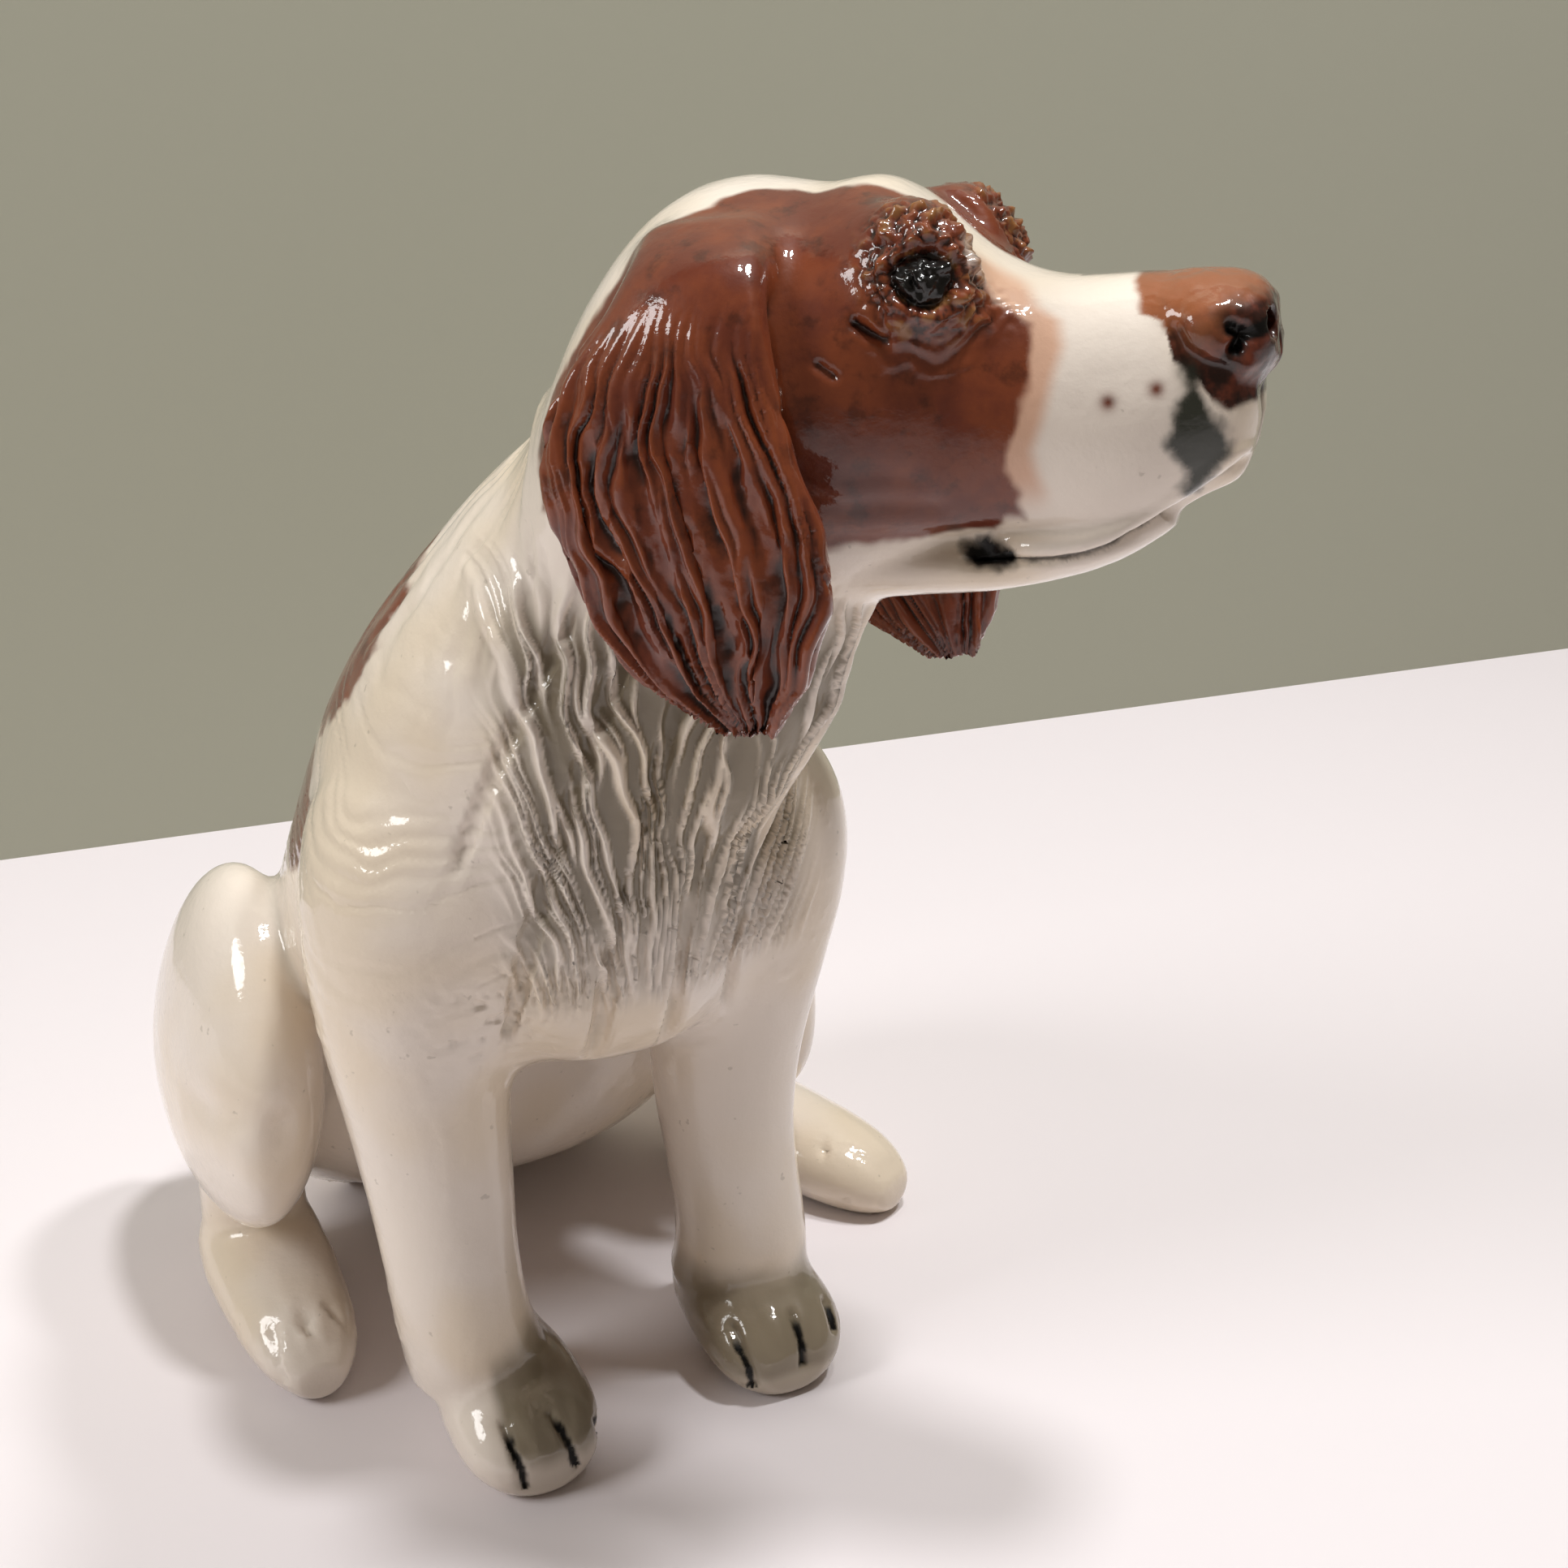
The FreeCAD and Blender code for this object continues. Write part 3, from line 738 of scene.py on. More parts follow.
def sculpt_nose(places):
    nose = places.share(["nose"], 0.6)
    hole = lengths(places.mirrored - NOSTRIL_HOLE)
    slit = nose * bump(nostril_distance(places), 1.3) * rise(hole, 1.6, 2.6)
    raised = -NOSTRIL_DEPTH * slit
    for place, height, radius in NOSE_HILLS:
        raised += height * spot(places.mirrored, place, radius)
    raised -= WING_DEPTH * groove(places.mirrored, NOSE_WING, 1.3)
    parting = bump(places.left, 0.9) * rise(places.forward, 54.5, 56.0)
    raised -= PARTING_DEPTH * parting * window(places.up, -9.5, -8.0, 1.0, 3.0)
    return raised + nose * 0.12 * rough(places.world, 2.0, 97, 2) * rise(hole, 1.9, 3.2)


# The combed coat: the middle of the breast, the line that its hair runs down to, how far its
# ridges stand over its gaps, and how deep the grooves elsewhere are
COAT_NODES = ["trunk", "left_foreleg", "right_foreleg"]
BREAST_MIDDLE = -2.0
BREAST_FOOT = -3.0
BREAST_RIDGE = 1.1
BREAST_GAP = 0.4
SHOULDER_GROOVE = 0.18
NECK_GROOVE = 0.30
BACK_GROOVE = 0.14
NECK_RADIUS = 16

# Pitted slip at the side of the breast's foot
PITTED_PLACE = (-22, -24, 62)
PITTED_REACH = 12.0
PITTED_DEPTH = 0.5


def breast_ridges(places):
    """How much each point lies in the combed breast, and how near it is to a ridge of hair."""
    x, y, z = places.world.T
    breast = places.share(COAT_NODES, 1.0) * rise(-y, 14, 20)
    breast *= fade(np.abs(x - BREAST_MIDDLE), 14, 21) * window(z, 60, 66, 108, 116)
    spread = 0.45 + 0.55 * rise(z, 58, 112)
    across = (x - BREAST_FOOT) / spread + 1.1 * flat_noise(x / 6, z / 6, 103)
    ridge = comb(across, z, BREAST_COMB, 101)
    return breast, np.maximum(ridge, 0.7 * comb(across + 0.9, z, FINE_BREAST_COMB, 107))


def sculpt_coat(places):
    x, y, z = places.world.T
    coat = places.share(COAT_NODES, 1.0)
    breast, ridge = breast_ridges(places)
    raised = breast * (BREAST_RIDGE * ridge - BREAST_GAP)
    wave = 0.9 * noise(places.world / 5, 109)
    shoulder = coat * rise(np.abs(x - BREAST_MIDDLE), 13, 19) * window(z, 56, 64, 92, 108)
    shoulder *= 1 - 0.85 * rise(x, 0, 10)
    slope = z + 0.45 * np.abs(x + 4) - 0.25 * y
    shoulder *= comb(slope + wave, y - 0.6 * np.abs(x), SHOULDER_COMB, 113)
    pitted = coat * spot(places.world, PITTED_PLACE, PITTED_REACH)
    pitted *= rise(np.abs(noise(places.world / 1.6, 117)), 0.3, 0.7)
    round_neck = NECK_RADIUS * np.arctan2(x - 5, -(y + 18)) + wave
    neck = coat * rise(z, 92, 104) * (1 - breast) * comb(round_neck, z, NECK_COMB, 127)
    back = coat * rise(y, 25, 35) * rise(z, 24, 44)
    back *= comb(round_neck, z, BACK_COMB, 131)
    return (raised - SHOULDER_GROOVE * shoulder - PITTED_DEPTH * pitted - NECK_GROOVE * neck
            - BACK_GROOVE * back)


# Toe lines: the painted claws of the forepaws and the plain grooves of the hind feet
CLAW_LINES = [
    [(-25.2, -29.6, 9.6), (-25.0, -32.4, 8.0), (-24.4, -33.7, 5.6), (-24.0, -34.4, 2.6)],
    [(-19.5, -30.8, 9.9), (-18.4, -32.4, 6.8), (-17.6, -33.8, 3.3)],
    [(-13.6, -29.2, 6.6), (-13.2, -30.6, 4.4)],
    [(6.4, -24.9, 9.5), (6.6, -28.0, 7.4), (7.3, -29.3, 4.4), (7.6, -29.8, 2.4)],
    [(14.0, -26.4, 10.1), (14.0, -28.4, 8.4), (14.0, -30.2, 6.6), (13.9, -31.0, 4.6)],
    [(19.7, -25.0, 9.1), (19.5, -27.0, 8.0), (19.3, -28.3, 7.0)],
]
HIND_TOE_LINES = [
    [(-44.6, 3.0, 9.0), (-44.6, -0.4, 6.6), (-44.0, -3.0, 3.0)],
    [(-40.4, 2.4, 9.4), (-40.8, -1.4, 6.8), (-40.6, -3.6, 2.4)],
    [(-36.8, 3.0, 8.6), (-37.2, -0.8, 6.0), (-37.6, -2.6, 3.0)],
    [(33.4, 7.0, 9.0), (35.0, 3.6, 6.4), (35.8, 1.0, 2.6)],
    [(36.4, 8.6, 9.0), (38.2, 5.0, 6.6), (39.2, 1.6, 2.8)],
]
TOE_DEPTH = 0.6
TOE_DIP = 0.3

# The crease of each knee and the hollow of the shin below it, on the figure's right side
KNEE_CREASE = [(-49.7, 17.3, 35.1), (-48.4, 9.5, 37.2), (-45.6, 2.8, 38.8), (-41.0, 0.0, 37.8)]
KNEE_HOLLOW = (-47.0, 5.5, 29.0)
KNEE_DEPTH = 0.8


def claw_distance(places, path):
    """Distance across a claw's line from its nearest part, and how far along that part is."""
    distance, along = to_path(places.world, path)
    middle = np.interp(along, np.linspace(0, 1, len(path)), [point[0] for point in path])
    close = (distance < 2.6) & (along > 0.01) & (along < 0.99)
    return np.where(close, np.abs(places.world[:, 0] - middle), distance), along


def sculpt_feet(places):
    raised = np.zeros(len(places.world))
    for path in CLAW_LINES:
        distance, _ = claw_distance(places, path)
        raised -= TOE_DEPTH * bump(distance, 0.8) + TOE_DIP * bump(distance, 2.6)
    for path in HIND_TOE_LINES:
        distance, along = claw_distance(places, path)
        raised -= TOE_DEPTH * bump(distance, 1.7) * rise(along, 0, 0.3)
    haunches = places.share(["left_haunch", "right_haunch"], 1.0)
    for side in SIDES.values():
        mirrored = places.world * [-side, 1, 1]
        crease, along = to_path(mirrored, KNEE_CREASE)
        raised -= KNEE_DEPTH * bump(crease, 4.5) * rise(along, 0, 0.4)
        raised -= KNEE_DEPTH * spot(mirrored, KNEE_HOLLOW, 11.0) * haunches
    return raised


def sculpt(skin, blocks):
    """Pushes the details into the skin, and keeps what stands on the ground flat."""
    places = Places(skin.points, blocks)
    raised = (sculpt_ears(places) + sculpt_eyes(places) + sculpt_face(places)
              + sculpt_nose(places) + sculpt_coat(places) + sculpt_feet(places))
    raised += 0.06 * rough(places.world, 7, 3, 2)
    raised *= rise(skin.points[:, 2], 0.1, 1.2)
    skin.points += skin.normals() * raised[:, None]
    skin.points[:, 2] = np.maximum(skin.points[:, 2], 0)
    return places


# Paint: each function returns, for every point, how much of a colour is there


# The near patch's edge along the top of the head: forward, and how far left of the middle
NEAR_BLAZE = [(-15, -13), (-6, -14), (3, -11.9), (7, -8.8), (10, -6.4), (14, -4.6), (20, -5.5),
              (24.8, -3.7), (26.5, -1.5), (28, -4), (30, -7), (32, -8.5)]
FAR_BLAZE = [(-15, 13), (-6, 14), (3, 11.9), (7, 8.8), (10, 6.4), (14, 5), (20, 5), (24, 4.5),
             (26.5, 3.5), (28, 1.5), (30, 0.4), (33, 0.3), (37, 1.5), (39, 4)]
# The patches' front edge, up and forward, and their lower edge, forward and up
PATCH_FRONT = [(-15, 32.5), (-12.7, 33.5), (-10.1, 33.9), (-8.3, 33.4), (-5.9, 33.2), (-3, 34.5),
               (0.7, 35.7), (3.4, 36.7), (5.6, 36.3), (7, 34.2), (10.7, 32.1), (13.8, 31.5)]
PATCH_FOOT = [(0, -7.5), (8, -9), (12, -13), (24, -13.8), (33, -13.5)]
FAR_PATCH_AHEAD = 1.5

# Brown patches on the body, by their middles and radii, and spots at the whiskers
BODY_PATCHES = [((-22, 8, 98), 15), ((-31, 9, 76), 9)]
WHISKER_SPOTS = [(43.2, 10.3, -2.0), (47.6, 9.3, -1.3)]

# The dark patch before the mouth: its back and front edges, up and forward
GREY_BACK = [(-12.7, 48.9), (-8.4, 48.7), (-5.9, 48.3), (-3.4, 49.4), (-1.8, 50.2)]
GREY_FRONT = [(-12.7, 49.6), (-10.6, 51.4), (-7.1, 53.4), (-3.4, 52.4), (-1.8, 51.4)]

# The lower edge of the lighter brown on the bridge of the nose, forward and up
CAP_FOOT = [(46, 2.0), (50, 4.4), (54, 5.2), (57, 6.4), (60, 7.0)]


def behind_front(places):
    """How far each point lies behind the front edge of a brown patch."""
    ahead = FAR_PATCH_AHEAD * (places.left > 0)
    return on_line(places.up, PATCH_FRONT) + ahead - places.forward


def paint_chestnut(places):
    wobble = 0.8 * rough(places.world, 5, 211, 3)
    beside = np.where(places.left < 0, on_line(places.forward, NEAR_BLAZE) - places.left,
                      places.left - on_line(places.forward, FAR_BLAZE))
    below = places.up - on_line(places.forward, PATCH_FOOT)
    depth = np.minimum.reduce([beside, behind_front(places), below]) + wobble
    head = places.share([name for name in FINE_NODES if name != "nose"], 0.5)
    marks = [head * rise(depth, -0.5, 0.6), places.share(["left_ear", "right_ear"], 0.5)]
    for middle, radius in BODY_PATCHES:
        patch = radius - lengths(places.world - middle) + 2.5 * wobble
        marks.append(rise(patch, -0.8, 0.8) * (1 - head))
    for middle in WHISKER_SPOTS:
        marks.append(spot(places.mirrored, middle, 1.2) * (places.left < 0))
    return np.maximum.reduce(marks)


def paint_peach(places):
    """Where the brown ran thin, before a patch's front edge."""
    wobble = 0.5 * rough(places.world, 6, 223, 2)
    behind = behind_front(places)
    head = places.share(["head"], 0.5)
    level = rise(places.up, -13, -8) * rise(places.aside, 3, 6)
    return head * level * rise(behind, -3.6, -1.6) * rise(wobble - behind, -1.5, 0)


def paint_grey(places):
    """The dark glaze on the front of the muzzle."""
    wobble = 0.9 * rough(places.world, 3, 227, 4)
    muzzle = places.share(["head", "lower_jaw"], 0.6) * (places.forward > 40)
    middle = bump(places.left, 1.6) * rise(places.up, -10, -7)
    patch = rise(places.forward - on_line(places.up, GREY_BACK) + wobble, -0.8, 0.8)
    patch *= rise(on_line(places.up, GREY_FRONT) - places.forward + wobble, -0.8, 0.8)
    patch *= rise(places.up + wobble, -13.2, -11.6)
    return muzzle * np.maximum(patch, 0.7 * middle)


def paint_pooled_glaze_and_shadow(places):
    """Olive grey: painted shadow on the paws and breast, pooled glaze in its gaps, darker near the
    ground.
    """
    x, _, z = places.world.T
    wobble = 1.8 * rough(places.world, 9, 229, 3)
    # Painted shadow of the head and body on the forepaws; the near paw's straight edge is the
    # shadow's edge
    right_paw_shadow = rise(x + 25.3 + 0.3 * wobble, -0.8, 0.8) * fade(z - wobble, 12, 19)
    right_paw_shadow *= 1 - 0.7 * fade(z - 0.5 * wobble, 4, 7)
    left_paw_shadow = 0.9 * fade(z - wobble, 10, 17) * (1 - 0.4 * fade(z, 3, 5))
    paw_shadows = np.where(x < -4, right_paw_shadow, left_paw_shadow)
    paw_shadows *= places.share(["left_foreleg", "right_foreleg"], 1.0)
    # Darker towards the ground on the hind feet and along the seat
    hind_near_ground = 0.15 * places.share(["left_hind_foot", "right_hind_foot"], 1.0)
    hind_near_ground *= fade(z - wobble, 1, 5)
    seat = 0.2 * fade(z - 0.5 * wobble, 1, 3)
    breast, ridge = breast_ridges(places)
    # The breast's gaps hold pooled glaze, and painted shadow of the head darkens them from about z
    # 66 to 112
    height = rise(z + 2 * wobble, 66, 78) * fade(z, 104, 112)
    gaps = breast * fade(ridge, 0.1, 0.5) * (0.35 + 0.65 * height)
    return np.maximum.reduce([paw_shadows, hind_near_ground, seat, gaps])


def paint_black_and_shade(places):
    """Black paint on the claws and mouth line; painted shade in the mouth's pit, nostrils and
    under the ears' free edges.
    """
    wobble = 0.2 * rough(places.world, 1.5, 233, 2)
    marks = []
    for path in CLAW_LINES:
        distance, along = claw_distance(places, path)
        marks.append(fade(distance + wobble, 0.3, 0.6) * rise(along, 0.05, 0.25))
    lips = places.share(["head", "lower_jaw"], 0.8) * rise(places.aside, 3.0, 4.5)
    line, _ = to_path(places.profile, MOUTH)
    marks.append(0.75 * lips * fade(line + wobble, 0.12, 0.42))
    # Painted shade in the pit at the corner of the mouth
    marks.append(lips * fade(mouth_pit(places) + wobble, 0.6, 1.05))
    # Painted shade in the nostrils
    nostril = nostril_distance(places) + 0.5 * wobble
    marks.append(fade(nostril, 0.7, 1.05) * (places.forward > 52))
    # Painted shadow in the gaps under the ears' free edges
    for name, side in SIDES.items():
        _, down = ear_place(places, side)
        free = rise(places.aside, 15, 18) * rise(down, 0.1, 0.25)
        free *= places.distances[name + "_ear"] < 0.8
        marks.append(0.85 * free * np.exp(-((ear_seam(places, name) / 0.7) ** 2)))
    return np.maximum.reduce(marks)


def paint_nose_cap_and_highlight(places):
    """The nose's lighter brown bridge, partly painted highlight, and a fainter painted highlight
    on the lobes.
    """
    wobble = 0.6 * rough(places.world, 3, 237, 2)
    nose_cap_and_highlight = rise(places.up + wobble - on_line(places.forward, CAP_FOOT), -1.2, 1.0)
    return np.maximum(nose_cap_and_highlight, 0.75 * spot(places.mirrored, NOSE_LOBE, 3.2))


def paint_nose(places):
    wobble = 0.35 * rough(places.world, 2.5, 239, 2)
    foot = places.up - on_line(places.forward, NOSE_FOOT)
    back = places.forward - on_line(places.up, NOSE_BACK)
    head = places.share(["nose", "head", "lower_jaw"], 0.5)
    return head * rise(np.minimum(foot, back) + wobble, -0.45, 0.45)


def paint_eye_and_crevice_shade(places):
    """The ball of each eye, and painted shade in the crevices of the clay round it."""
    _, radius, depth = around_eye(places)
    rim, crumbs = eye_crumbs(places)
    # Painted shade: black in the crevices of the rough clay
    crevice_shade = 0.8 * rim * fade(np.abs(crumbs), 0.05, 0.16)
    return np.maximum(fade(radius, 2.3, 3.1) * (depth > -2), crevice_shade)


def paint_ochre_highlight(places):
    """Painted highlights: lighter ochre on the raised crumbs of clay round the eyes."""
    rim, crumbs = eye_crumbs(places)
    return rim * rise(np.abs(crumbs) + 0.3 * noise(places.world / 3, 241), 0.3, 0.6)


PAINTS = {
    "nose": paint_nose,
    "ochre_highlight": paint_ochre_highlight,
    "eye": paint_eye_and_crevice_shade,
    "chestnut": paint_chestnut,
    "peach": paint_peach,
    "grey": paint_grey,
    "pooled_glaze_and_painted_shadow": paint_pooled_glaze_and_shadow,
    "black_paint_and_shade": paint_black_and_shade,
    "nose_cap_and_highlight": paint_nose_cap_and_highlight,
}


# Pieces


# How far a seam of at least so many points is sunk below the skin where it is closed, in mm
SEAM_SINK = 1.2
LONG_SEAM = 60


def closed_piece(skin, number, normals):
    """One solid's faces, closed along each seam: its points' numbers, faces and added points."""
    fours = skin.fours[skin.four_owner == number]
    threes = skin.threes[skin.three_owner == number]
    starts = np.concatenate([fours.ravel(), threes.ravel()])
    ends = np.concatenate([np.roll(faces, -1, axis=1).ravel() for faces in (fours, threes)])
    count = len(skin.points)
    open_edge = ~np.isin(starts * count + ends, ends * count + starts)
    following = {}
    for start, end in zip(starts[open_edge].tolist(), ends[open_edge].tolist()):
        following.setdefault(start, []).append(end)
    loops = []
    while following:
        point = next(iter(following))
        loop = []
        while point in following:
            loop.append(point)
            choices = following[point]
            point = choices.pop()
            if not choices:
                del following[loop[-1]]
        loops.append(loop)
    used, place = np.unique(np.concatenate([fours.ravel(), threes.ravel()]), return_inverse=True)
    fours = place[:fours.size].reshape(fours.shape)
    threes = place[place.size - threes.size:].reshape(threes.shape)
    caps = []
    added = [np.empty((0, 3))]
    count = len(used)
    for loop in loops:
        rim = np.searchsorted(used, loop)
        if len(loop) > LONG_SEAM:
            sunk = skin.points[loop] - SEAM_SINK * normals[loop]
            ring = count + np.arange(len(loop))
            following_rim = np.roll(rim, -1)
            following_ring = np.roll(ring, -1)
            caps.append(np.stack([following_rim, rim, ring], axis=1))
            caps.append(np.stack([following_rim, ring, following_ring], axis=1))
            added.append(sunk)
            count += len(loop)
        else:
            sunk = skin.points[loop]
            ring = rim
        caps.append(np.stack([np.roll(ring, -1), ring, np.full(len(ring), count)], axis=1))
        added.append(sunk.mean(axis=0)[None])
        count += 1
    return used, fours, np.concatenate([threes, *caps]), np.concatenate(added)


def stand(name, data):
    """A new object in the scene."""
    thing = bpy.data.objects.new(name, data)
    bpy.context.scene.collection.objects.link(thing)
    return thing


def make_piece(name, number, skin, normals, attributes):
    used, fours, threes, added = closed_piece(skin, number, normals)
    mesh = bpy.data.meshes.new("glazed_" + name)
    points = np.concatenate([skin.points[used], added]) * MM
    mesh.vertices.add(len(points))
    mesh.vertices.foreach_set("co", points.astype(np.float32).ravel())
    corners = np.concatenate([fours.ravel(), threes.ravel()])
    mesh.loops.add(len(corners))
    mesh.loops.foreach_set("vertex_index", corners.astype(np.int32))
    starts = np.concatenate([np.arange(len(fours)) * 4,
                             len(fours) * 4 + np.arange(len(threes)) * 3])
    mesh.polygons.add(len(starts))
    mesh.polygons.foreach_set("loop_start", starts.astype(np.int32))
    mesh.update(calc_edges=True)
    mesh.shade_smooth()
    for title, values in attributes.items():
        layer = mesh.attributes.new(title, "FLOAT", "POINT")
        layer.data.foreach_set("value", np.concatenate(
            [values[used], np.zeros(len(added))]).astype(np.float32))
    own = np.concatenate([normals[used], np.tile([0.0, 0.0, 1.0], (len(added), 1))])
    mesh.normals_split_custom_set_from_vertices(own.astype(np.float32))
    piece = stand("glazed_" + name, mesh)
    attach(piece, "root")
    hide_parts(name)
    mesh.materials.append(GLAZES[SLOTS[name]])


# Glazes


class Nodes:
    """A material under construction."""

    # The factor and the colour sockets of a Mix node, whose other sockets have the same names
    MIX_INPUTS = (0, 6, 7)
    MIX_OUTPUT = 2

    def __init__(self, name):
        self.material = bpy.data.materials.new(name)
        self.material.use_nodes = True
        self.tree = self.material.node_tree
        self.shader = self.tree.nodes["Principled BSDF"]

    def put(self, node, values):
        """Gives each named input of a node its value, or joins it to another node."""
        for name, value in values.items():
            if isinstance(value, bpy.types.NodeSocket):
                self.tree.links.new(value, node.inputs[name])
            else:
                node.inputs[name].default_value = value

    def add(self, kind, output, values, **settings):
        node = self.tree.nodes.new("ShaderNode" + kind)
        for name, value in settings.items():
            setattr(node, name, value)
        self.put(node, values)
        return node.outputs[output]

    def attribute(self, name):
        return self.add("Attribute", "Fac", {}, attribute_name=name)

    def noise(self, size, detail=3.0, roughness=0.55):
        """Noise whose coarsest lumps are about a size across, in mm."""
        return self.add("TexNoise", "Fac", {
            "Scale": 1 / (size * MM), "Detail": detail, "Roughness": roughness,
            "Vector": self.add("TexCoord", "Object", {})})

    def band(self, value, low, high):
        """0 below low, 1 above high."""
        return self.add("MapRange", "Result", {"Value": value, "From Min": low, "From Max": high},
                        interpolation_type="SMOOTHSTEP")

    def math(self, operation, first, second):
        return self.add("Math", 0, {0: first, 1: second}, operation=operation)

    def mix(self, share, first, second):
        values = dict(zip(self.MIX_INPUTS, (share, first, second)))
        return self.add("Mix", self.MIX_OUTPUT, values, data_type="RGBA")

    def over(self, base, where, strength, paint):
        """A layer of paint on a base, as strong as is said where the value is 1."""
        return self.mix(self.math("MULTIPLY", where, strength), base, paint)

    def bump(self, height, depth, **below):
        """A bump of a depth in mm for a height of 1."""
        return self.add("Bump", "Normal", {"Height": height, "Distance": depth * MM, **below})


def colour(text):
    """A colour from its six sRGB digits."""
    parts = [int(text[k:k + 2], 16) / 255 for k in (0, 2, 4)]
    return (*[p / 12.92 if p <= 0.04045 else ((p + 0.055) / 1.055) ** 2.4 for p in parts], 1.0)


WHITE = colour("ece0d3")
CREAM = colour("e8d8c2")
SHADED = colour("8c8064")
OLIVE = colour("695c41")
PEACH = colour("d29a76")
CHESTNUT = colour("68301f")
ORANGE = colour("8a4524")
DARK_BROWN = colour("2a120b")
NOSE_CAP = colour("a3613c")
OCHRE = colour("94683a")
GREY_GREEN = colour("33352c")
BLACK = colour("0c0a08")


def white_layer(nodes):
    """Cream white glaze over a pale body: cooler where thick, warmer where it ran thin."""
    cloud = nodes.band(nodes.noise(26, 2.0), 0.42, 0.62)
    base = nodes.mix(cloud, WHITE, CREAM)
    # Painted shade: the creases of the white glaze darkened towards SHADED
    base = nodes.over(base, nodes.band(nodes.attribute("hollow"), 0.04, 0.5), 0.35, SHADED)
    # Olive grey: painted shadow on the paws and breast, pooled glaze in the breast's gaps, and
    # darker near the ground
    base = nodes.over(base, nodes.attribute("pooled_glaze_and_painted_shadow"), 0.85, OLIVE)
    return nodes.over(base, nodes.band(nodes.noise(1.6, 2.0), 0.70, 0.76), 0.25, OLIVE)


def chestnut_layer(nodes):
    """Brown under the glaze, thick and darkened with painted shade in the hollows, worn thin and
    lightened with painted highlight on the ridges.
    """
    cloud = nodes.band(nodes.noise(7, 4.0, 0.6), 0.36, 0.66)
    base = nodes.over(CHESTNUT, cloud, 0.6, ORANGE)
    blot = nodes.band(nodes.noise(3.2, 4.0, 0.6), 0.52, 0.70)
    base = nodes.over(base, blot, 0.5, DARK_BROWN)
    hollow = nodes.attribute("hollow")
    # Painted shade with the thick brown in the hollows
    base = nodes.mix(nodes.band(hollow, 0.03, 0.32), base, DARK_BROWN)
    # Painted highlight with the thin brown on the ridges
    return nodes.over(base, nodes.band(hollow, -0.05, -0.30), 0.6, ORANGE)


def nose_layer(nodes):
    """Mottled dark brown, lighter on the bridge, partly as painted highlight."""
    mottled = nodes.mix(nodes.band(nodes.noise(2.2, 3.0), 0.30, 0.60), CHESTNUT, DARK_BROWN)
    # Painted highlight, with the bridge's own lighter brown, on the bridge and the lobes
    return nodes.over(mottled, nodes.attribute("nose_cap_and_highlight"), 0.8, NOSE_CAP)


# Clear glaze over paint; where the black paint and the painted shade are, the glaze is duller
GLAZE_SETTINGS = {
    "Roughness": 0.45,
    "Specular IOR Level": 0.15,
    "IOR": 1.5,
    "Coat Roughness": 0.05,
    "Coat IOR": 1.5,
}
BLACK_DULLNESS = 0.75


def glaze(name):
    nodes = Nodes(name)
    base = white_layer(nodes)
    layers = [
        ("peach", 0.75, PEACH),
        ("chestnut", 1.0, chestnut_layer(nodes)),
        ("nose", 1.0, nose_layer(nodes)),
        # Painted highlights on the raised crumbs round the eyes
        ("ochre_highlight", 0.75, OCHRE),
        # Black eyes, with painted shade in the crevices round them
        ("eye", 1.0, BLACK),
        ("grey", 1.0, GREY_GREEN),
        # Black paint, with painted shade in the mouth's pit, the nostrils and under the ears
        ("black_paint_and_shade", 1.0, BLACK),
    ]
    for title, strength, paint in layers:
        base = nodes.over(base, nodes.attribute(title), strength, paint)
    dull = nodes.math("MULTIPLY", nodes.attribute("black_paint_and_shade"), BLACK_DULLNESS)
    gloss = nodes.math("SUBTRACT", 1.0, dull)
    wavy = nodes.bump(nodes.noise(5.5, 2.0), 0.12)
    fine = nodes.bump(nodes.noise(1.1, 3.0), 0.05, Normal=wavy)
    nodes.put(nodes.shader, {"Base Color": base, "Coat Weight": gloss, "Normal": fine,
                             "Coat Normal": fine, **GLAZE_SETTINGS})
    return nodes.material


GLAZES = {entry["slot"]: glaze(entry["slot"]) for entry in frame["record"]["materials"]}
SLOTS = {entry["node"]: entry["material_slot"] for entry in frame["record"]["subparts"]}


# The figure


# Parts of the skin that have finer faces, each by its reach along x, y and z
BREAST_BOX = [(-24, 20), (-math.inf, -16), (61, 114)]
PAWS_BOX = [(-math.inf, math.inf), (-math.inf, -20), (-math.inf, 14)]


def build_figure():
    blocks = {name: node_distances(name) for name in FILLETS if name != "throat"}
    blocks["throat"] = throat_distances()
    fill_casting(blocks["trunk"])
    field = fuse(blocks)
    skin = extract(field)
    assign_owners(skin, blocks)
    names = list(FILLETS)
    fine = np.isin(skin.four_owner, [names.index(name) for name in FINE_NODES])
    coat = np.isin(skin.four_owner, [names.index(name) for name in COAT_NODES])
    middles = skin.points[skin.fours].mean(axis=1)
    for box, owned in ((BREAST_BOX, coat), (PAWS_BOX, True)):
        low, high = np.array(box, float).T
        fine |= np.all((middles > low) & (middles < high), axis=1) & owned
    skin = refine(skin, fine)
    settle(skin, field)
    round_ends(skin)
    places = sculpt(skin, blocks)
    attributes = {name: paint(places) for name, paint in PAINTS.items()}
    attributes["hollow"] = skin.hollowness(HOLLOW_SMOOTHING)
    normals = skin.normals()
    for number, name in enumerate(names):
        if name != "throat":
            make_piece(name, number, skin, normals, attributes)


# Floor, wall, light and camera


def plain(name, shade, roughness):
    nodes = Nodes(name)
    nodes.put(nodes.shader, {"Base Color": shade, "Roughness": roughness})
    return nodes


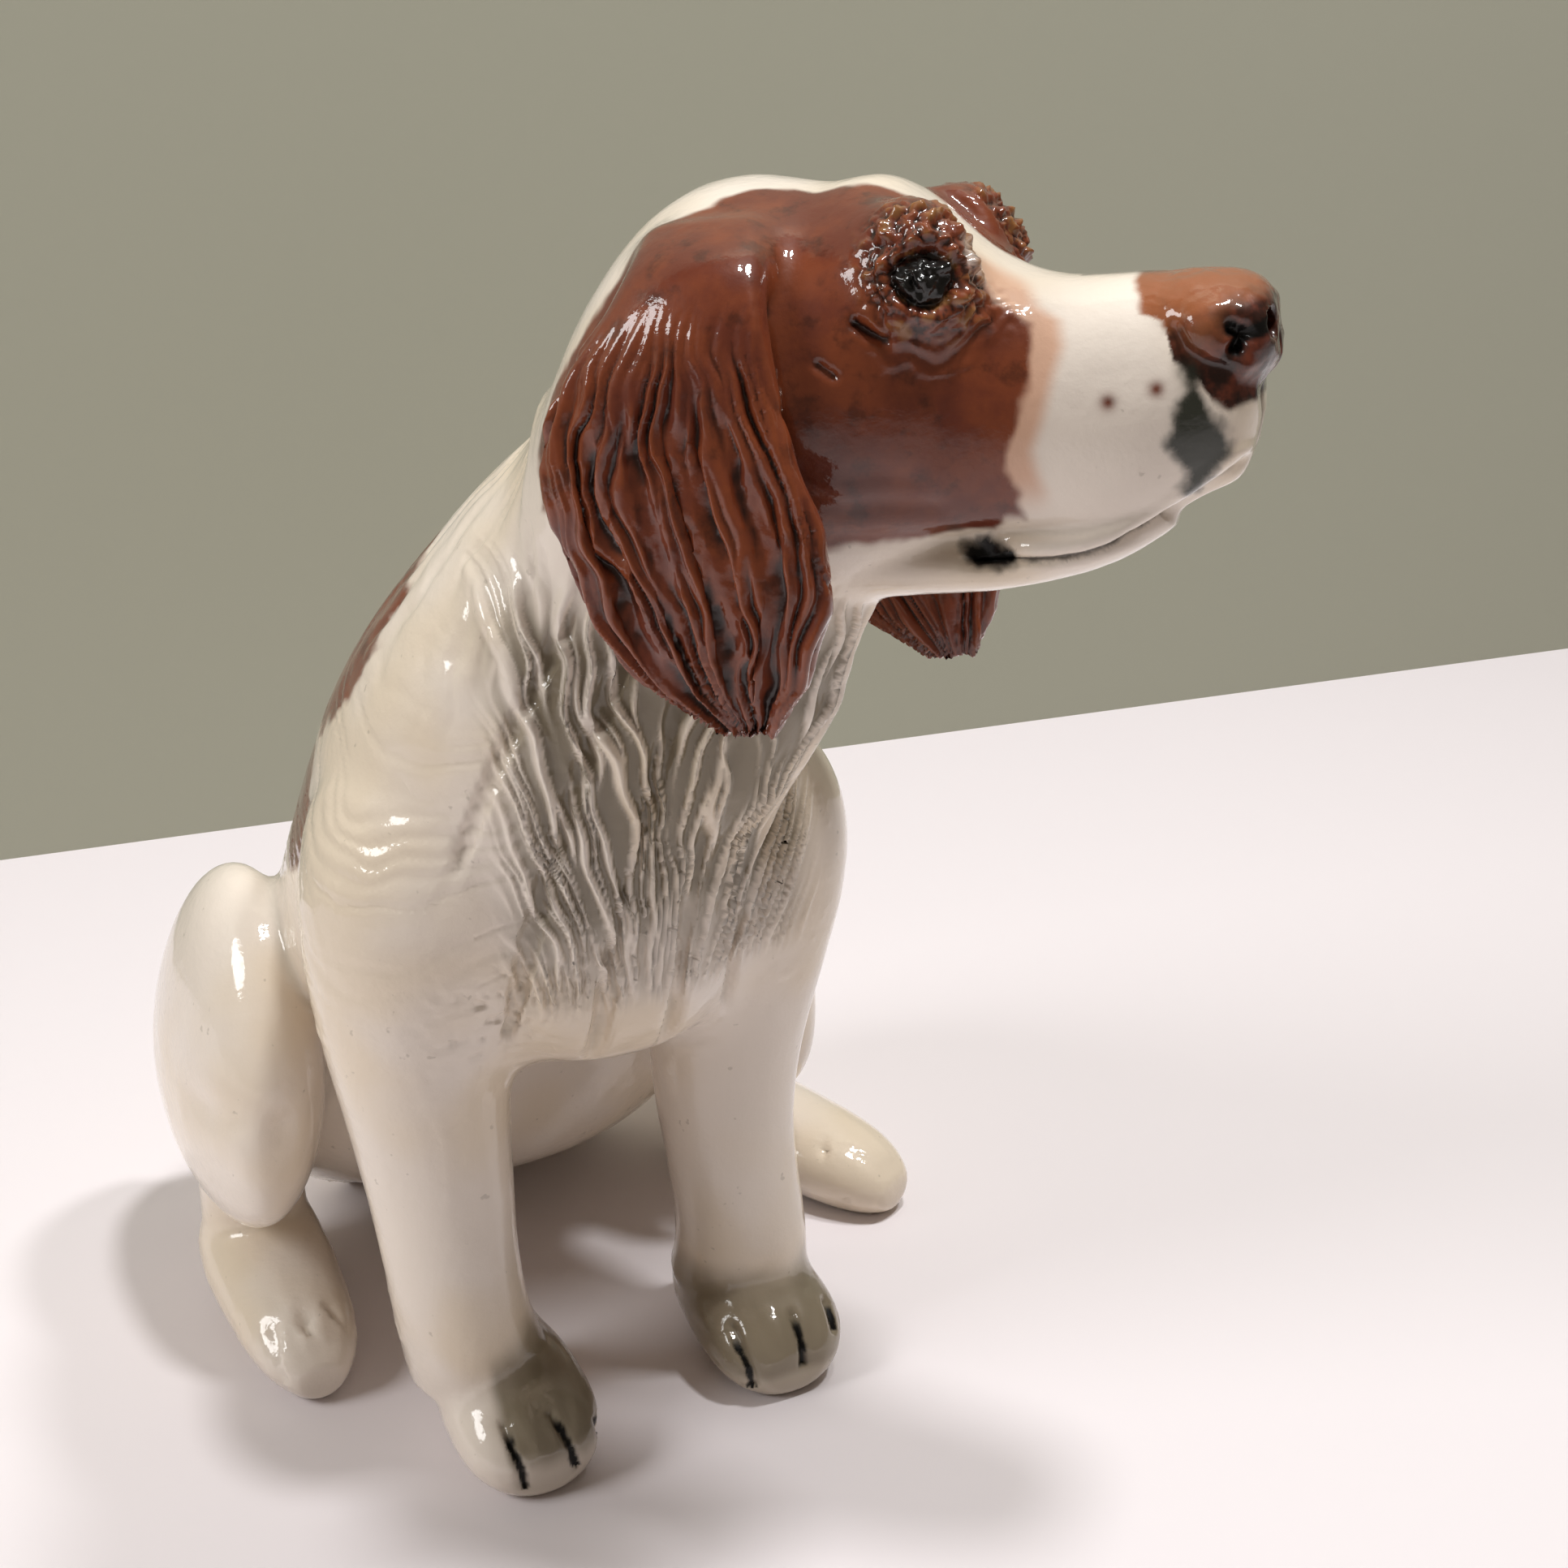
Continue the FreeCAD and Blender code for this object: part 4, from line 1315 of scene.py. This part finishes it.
def open_from_behind(nodes):
    """Lets a view from behind the wall see through it."""
    surface = nodes.add("MixShader", "Shader", {
        0: nodes.add("NewGeometry", "Backfacing", {}),
        1: nodes.shader.outputs["BSDF"],
        2: nodes.add("BsdfTransparent", "BSDF", {})})
    nodes.put(nodes.tree.nodes["Material Output"], {"Surface": surface})


def sheet(name, corners, nodes):
    mesh = bpy.data.meshes.new(name)
    mesh.from_pydata([Vector(c) * MM for c in corners], [], [range(len(corners))])
    mesh.materials.append(nodes.material)
    backdrop = stand(name, mesh)


# The wall meets the shelf along a line behind the dog
WALL_START = (-50.7, 160.2)
WALL_RUN = (0.989, -0.147)
WALL_REACH = 2500
WALL_HEIGHT = 2000


def build_stage():
    left, right = [tuple(a + side * WALL_REACH * b for a, b in zip(WALL_START, WALL_RUN))
                   for side in (-1, 1)]
    back = (WALL_RUN[1] * WALL_REACH, -WALL_RUN[0] * WALL_REACH)
    shelf = plain("shelf", colour("f2ebee"), 0.6)
    wall = plain("wall", colour("a8a897"), 0.9)
    open_from_behind(wall)
    sheet("shelf", [(*left, 0), (left[0] + back[0], left[1] + back[1], 0),
                    (right[0] + back[0], right[1] + back[1], 0), (*right, 0)], shelf)
    sheet("wall", [(*left, WALL_HEIGHT), (*left, 0), (*right, 0), (*right, WALL_HEIGHT)], wall)


# Discs of light: the direction from the dog, the distance, the size, and the strength, which is 1
# where a white surface that faces the lamp looks white
LAMPS = {
    "near lamp": ((0.15, -0.11, 1.0), 700, 70, 0.46),
    "far lamp": ((0.40, -0.165, 1.0), 700, 70, 0.36),
    "window": ((-0.85, 0.05, 0.60), 900, 350, 0.42),
}
LAMP_TARGET = Vector((0, 0, 60))
ROOM_COLOUR = (1.0, 0.86, 0.70, 1.0)
ROOM_STRENGTH = 0.12


def build_light():
    for name, (direction, distance, size, strength) in LAMPS.items():
        light = bpy.data.lights.new(name, "AREA")
        light.shape = "DISK"
        light.size = size * MM
        light.energy = strength * math.pi**2 * (distance * MM) ** 2
        direction = Vector(direction).normalized()
        lamp = stand(name, light)
        lamp.location = (LAMP_TARGET + direction * distance) * MM
        lamp.rotation_euler = direction.to_track_quat("Z", "Y").to_euler()
    world = bpy.data.worlds.new("room")
    world.use_nodes = True
    background = world.node_tree.nodes["Background"]
    background.inputs["Color"].default_value = ROOM_COLOUR
    background.inputs["Strength"].default_value = ROOM_STRENGTH
    bpy.context.scene.world = world
    bpy.context.scene.view_settings.view_transform = "Standard"


# The camera's turn round the dog's right side and its lift, what it looks at, and its focal
# length as a share of the photograph's width
VIEW_TURN = math.radians(-26)
VIEW_LIFT = math.radians(26)
VIEW_TARGET = Vector((24.9, -2.0, 70.0))
VIEW_DISTANCE = 300.0
FILM_WIDTH = 36.0
FOCAL_SHARE = 3000 / 1932


def build_camera():
    camera = bpy.data.cameras.new("camera")
    camera.sensor_width = FILM_WIDTH
    camera.lens = FOCAL_SHARE * FILM_WIDTH
    holder = stand("camera", camera)
    turn = Euler((math.pi / 2 - VIEW_LIFT, 0, VIEW_TURN))
    back = turn.to_matrix() @ Vector((0, 0, VIEW_DISTANCE))
    holder.rotation_euler = turn
    holder.location = (VIEW_TARGET + back) * MM
    bpy.context.scene.camera = holder


build_figure()
build_stage()
build_light()
build_camera()

bpy.context.view_layer.update()
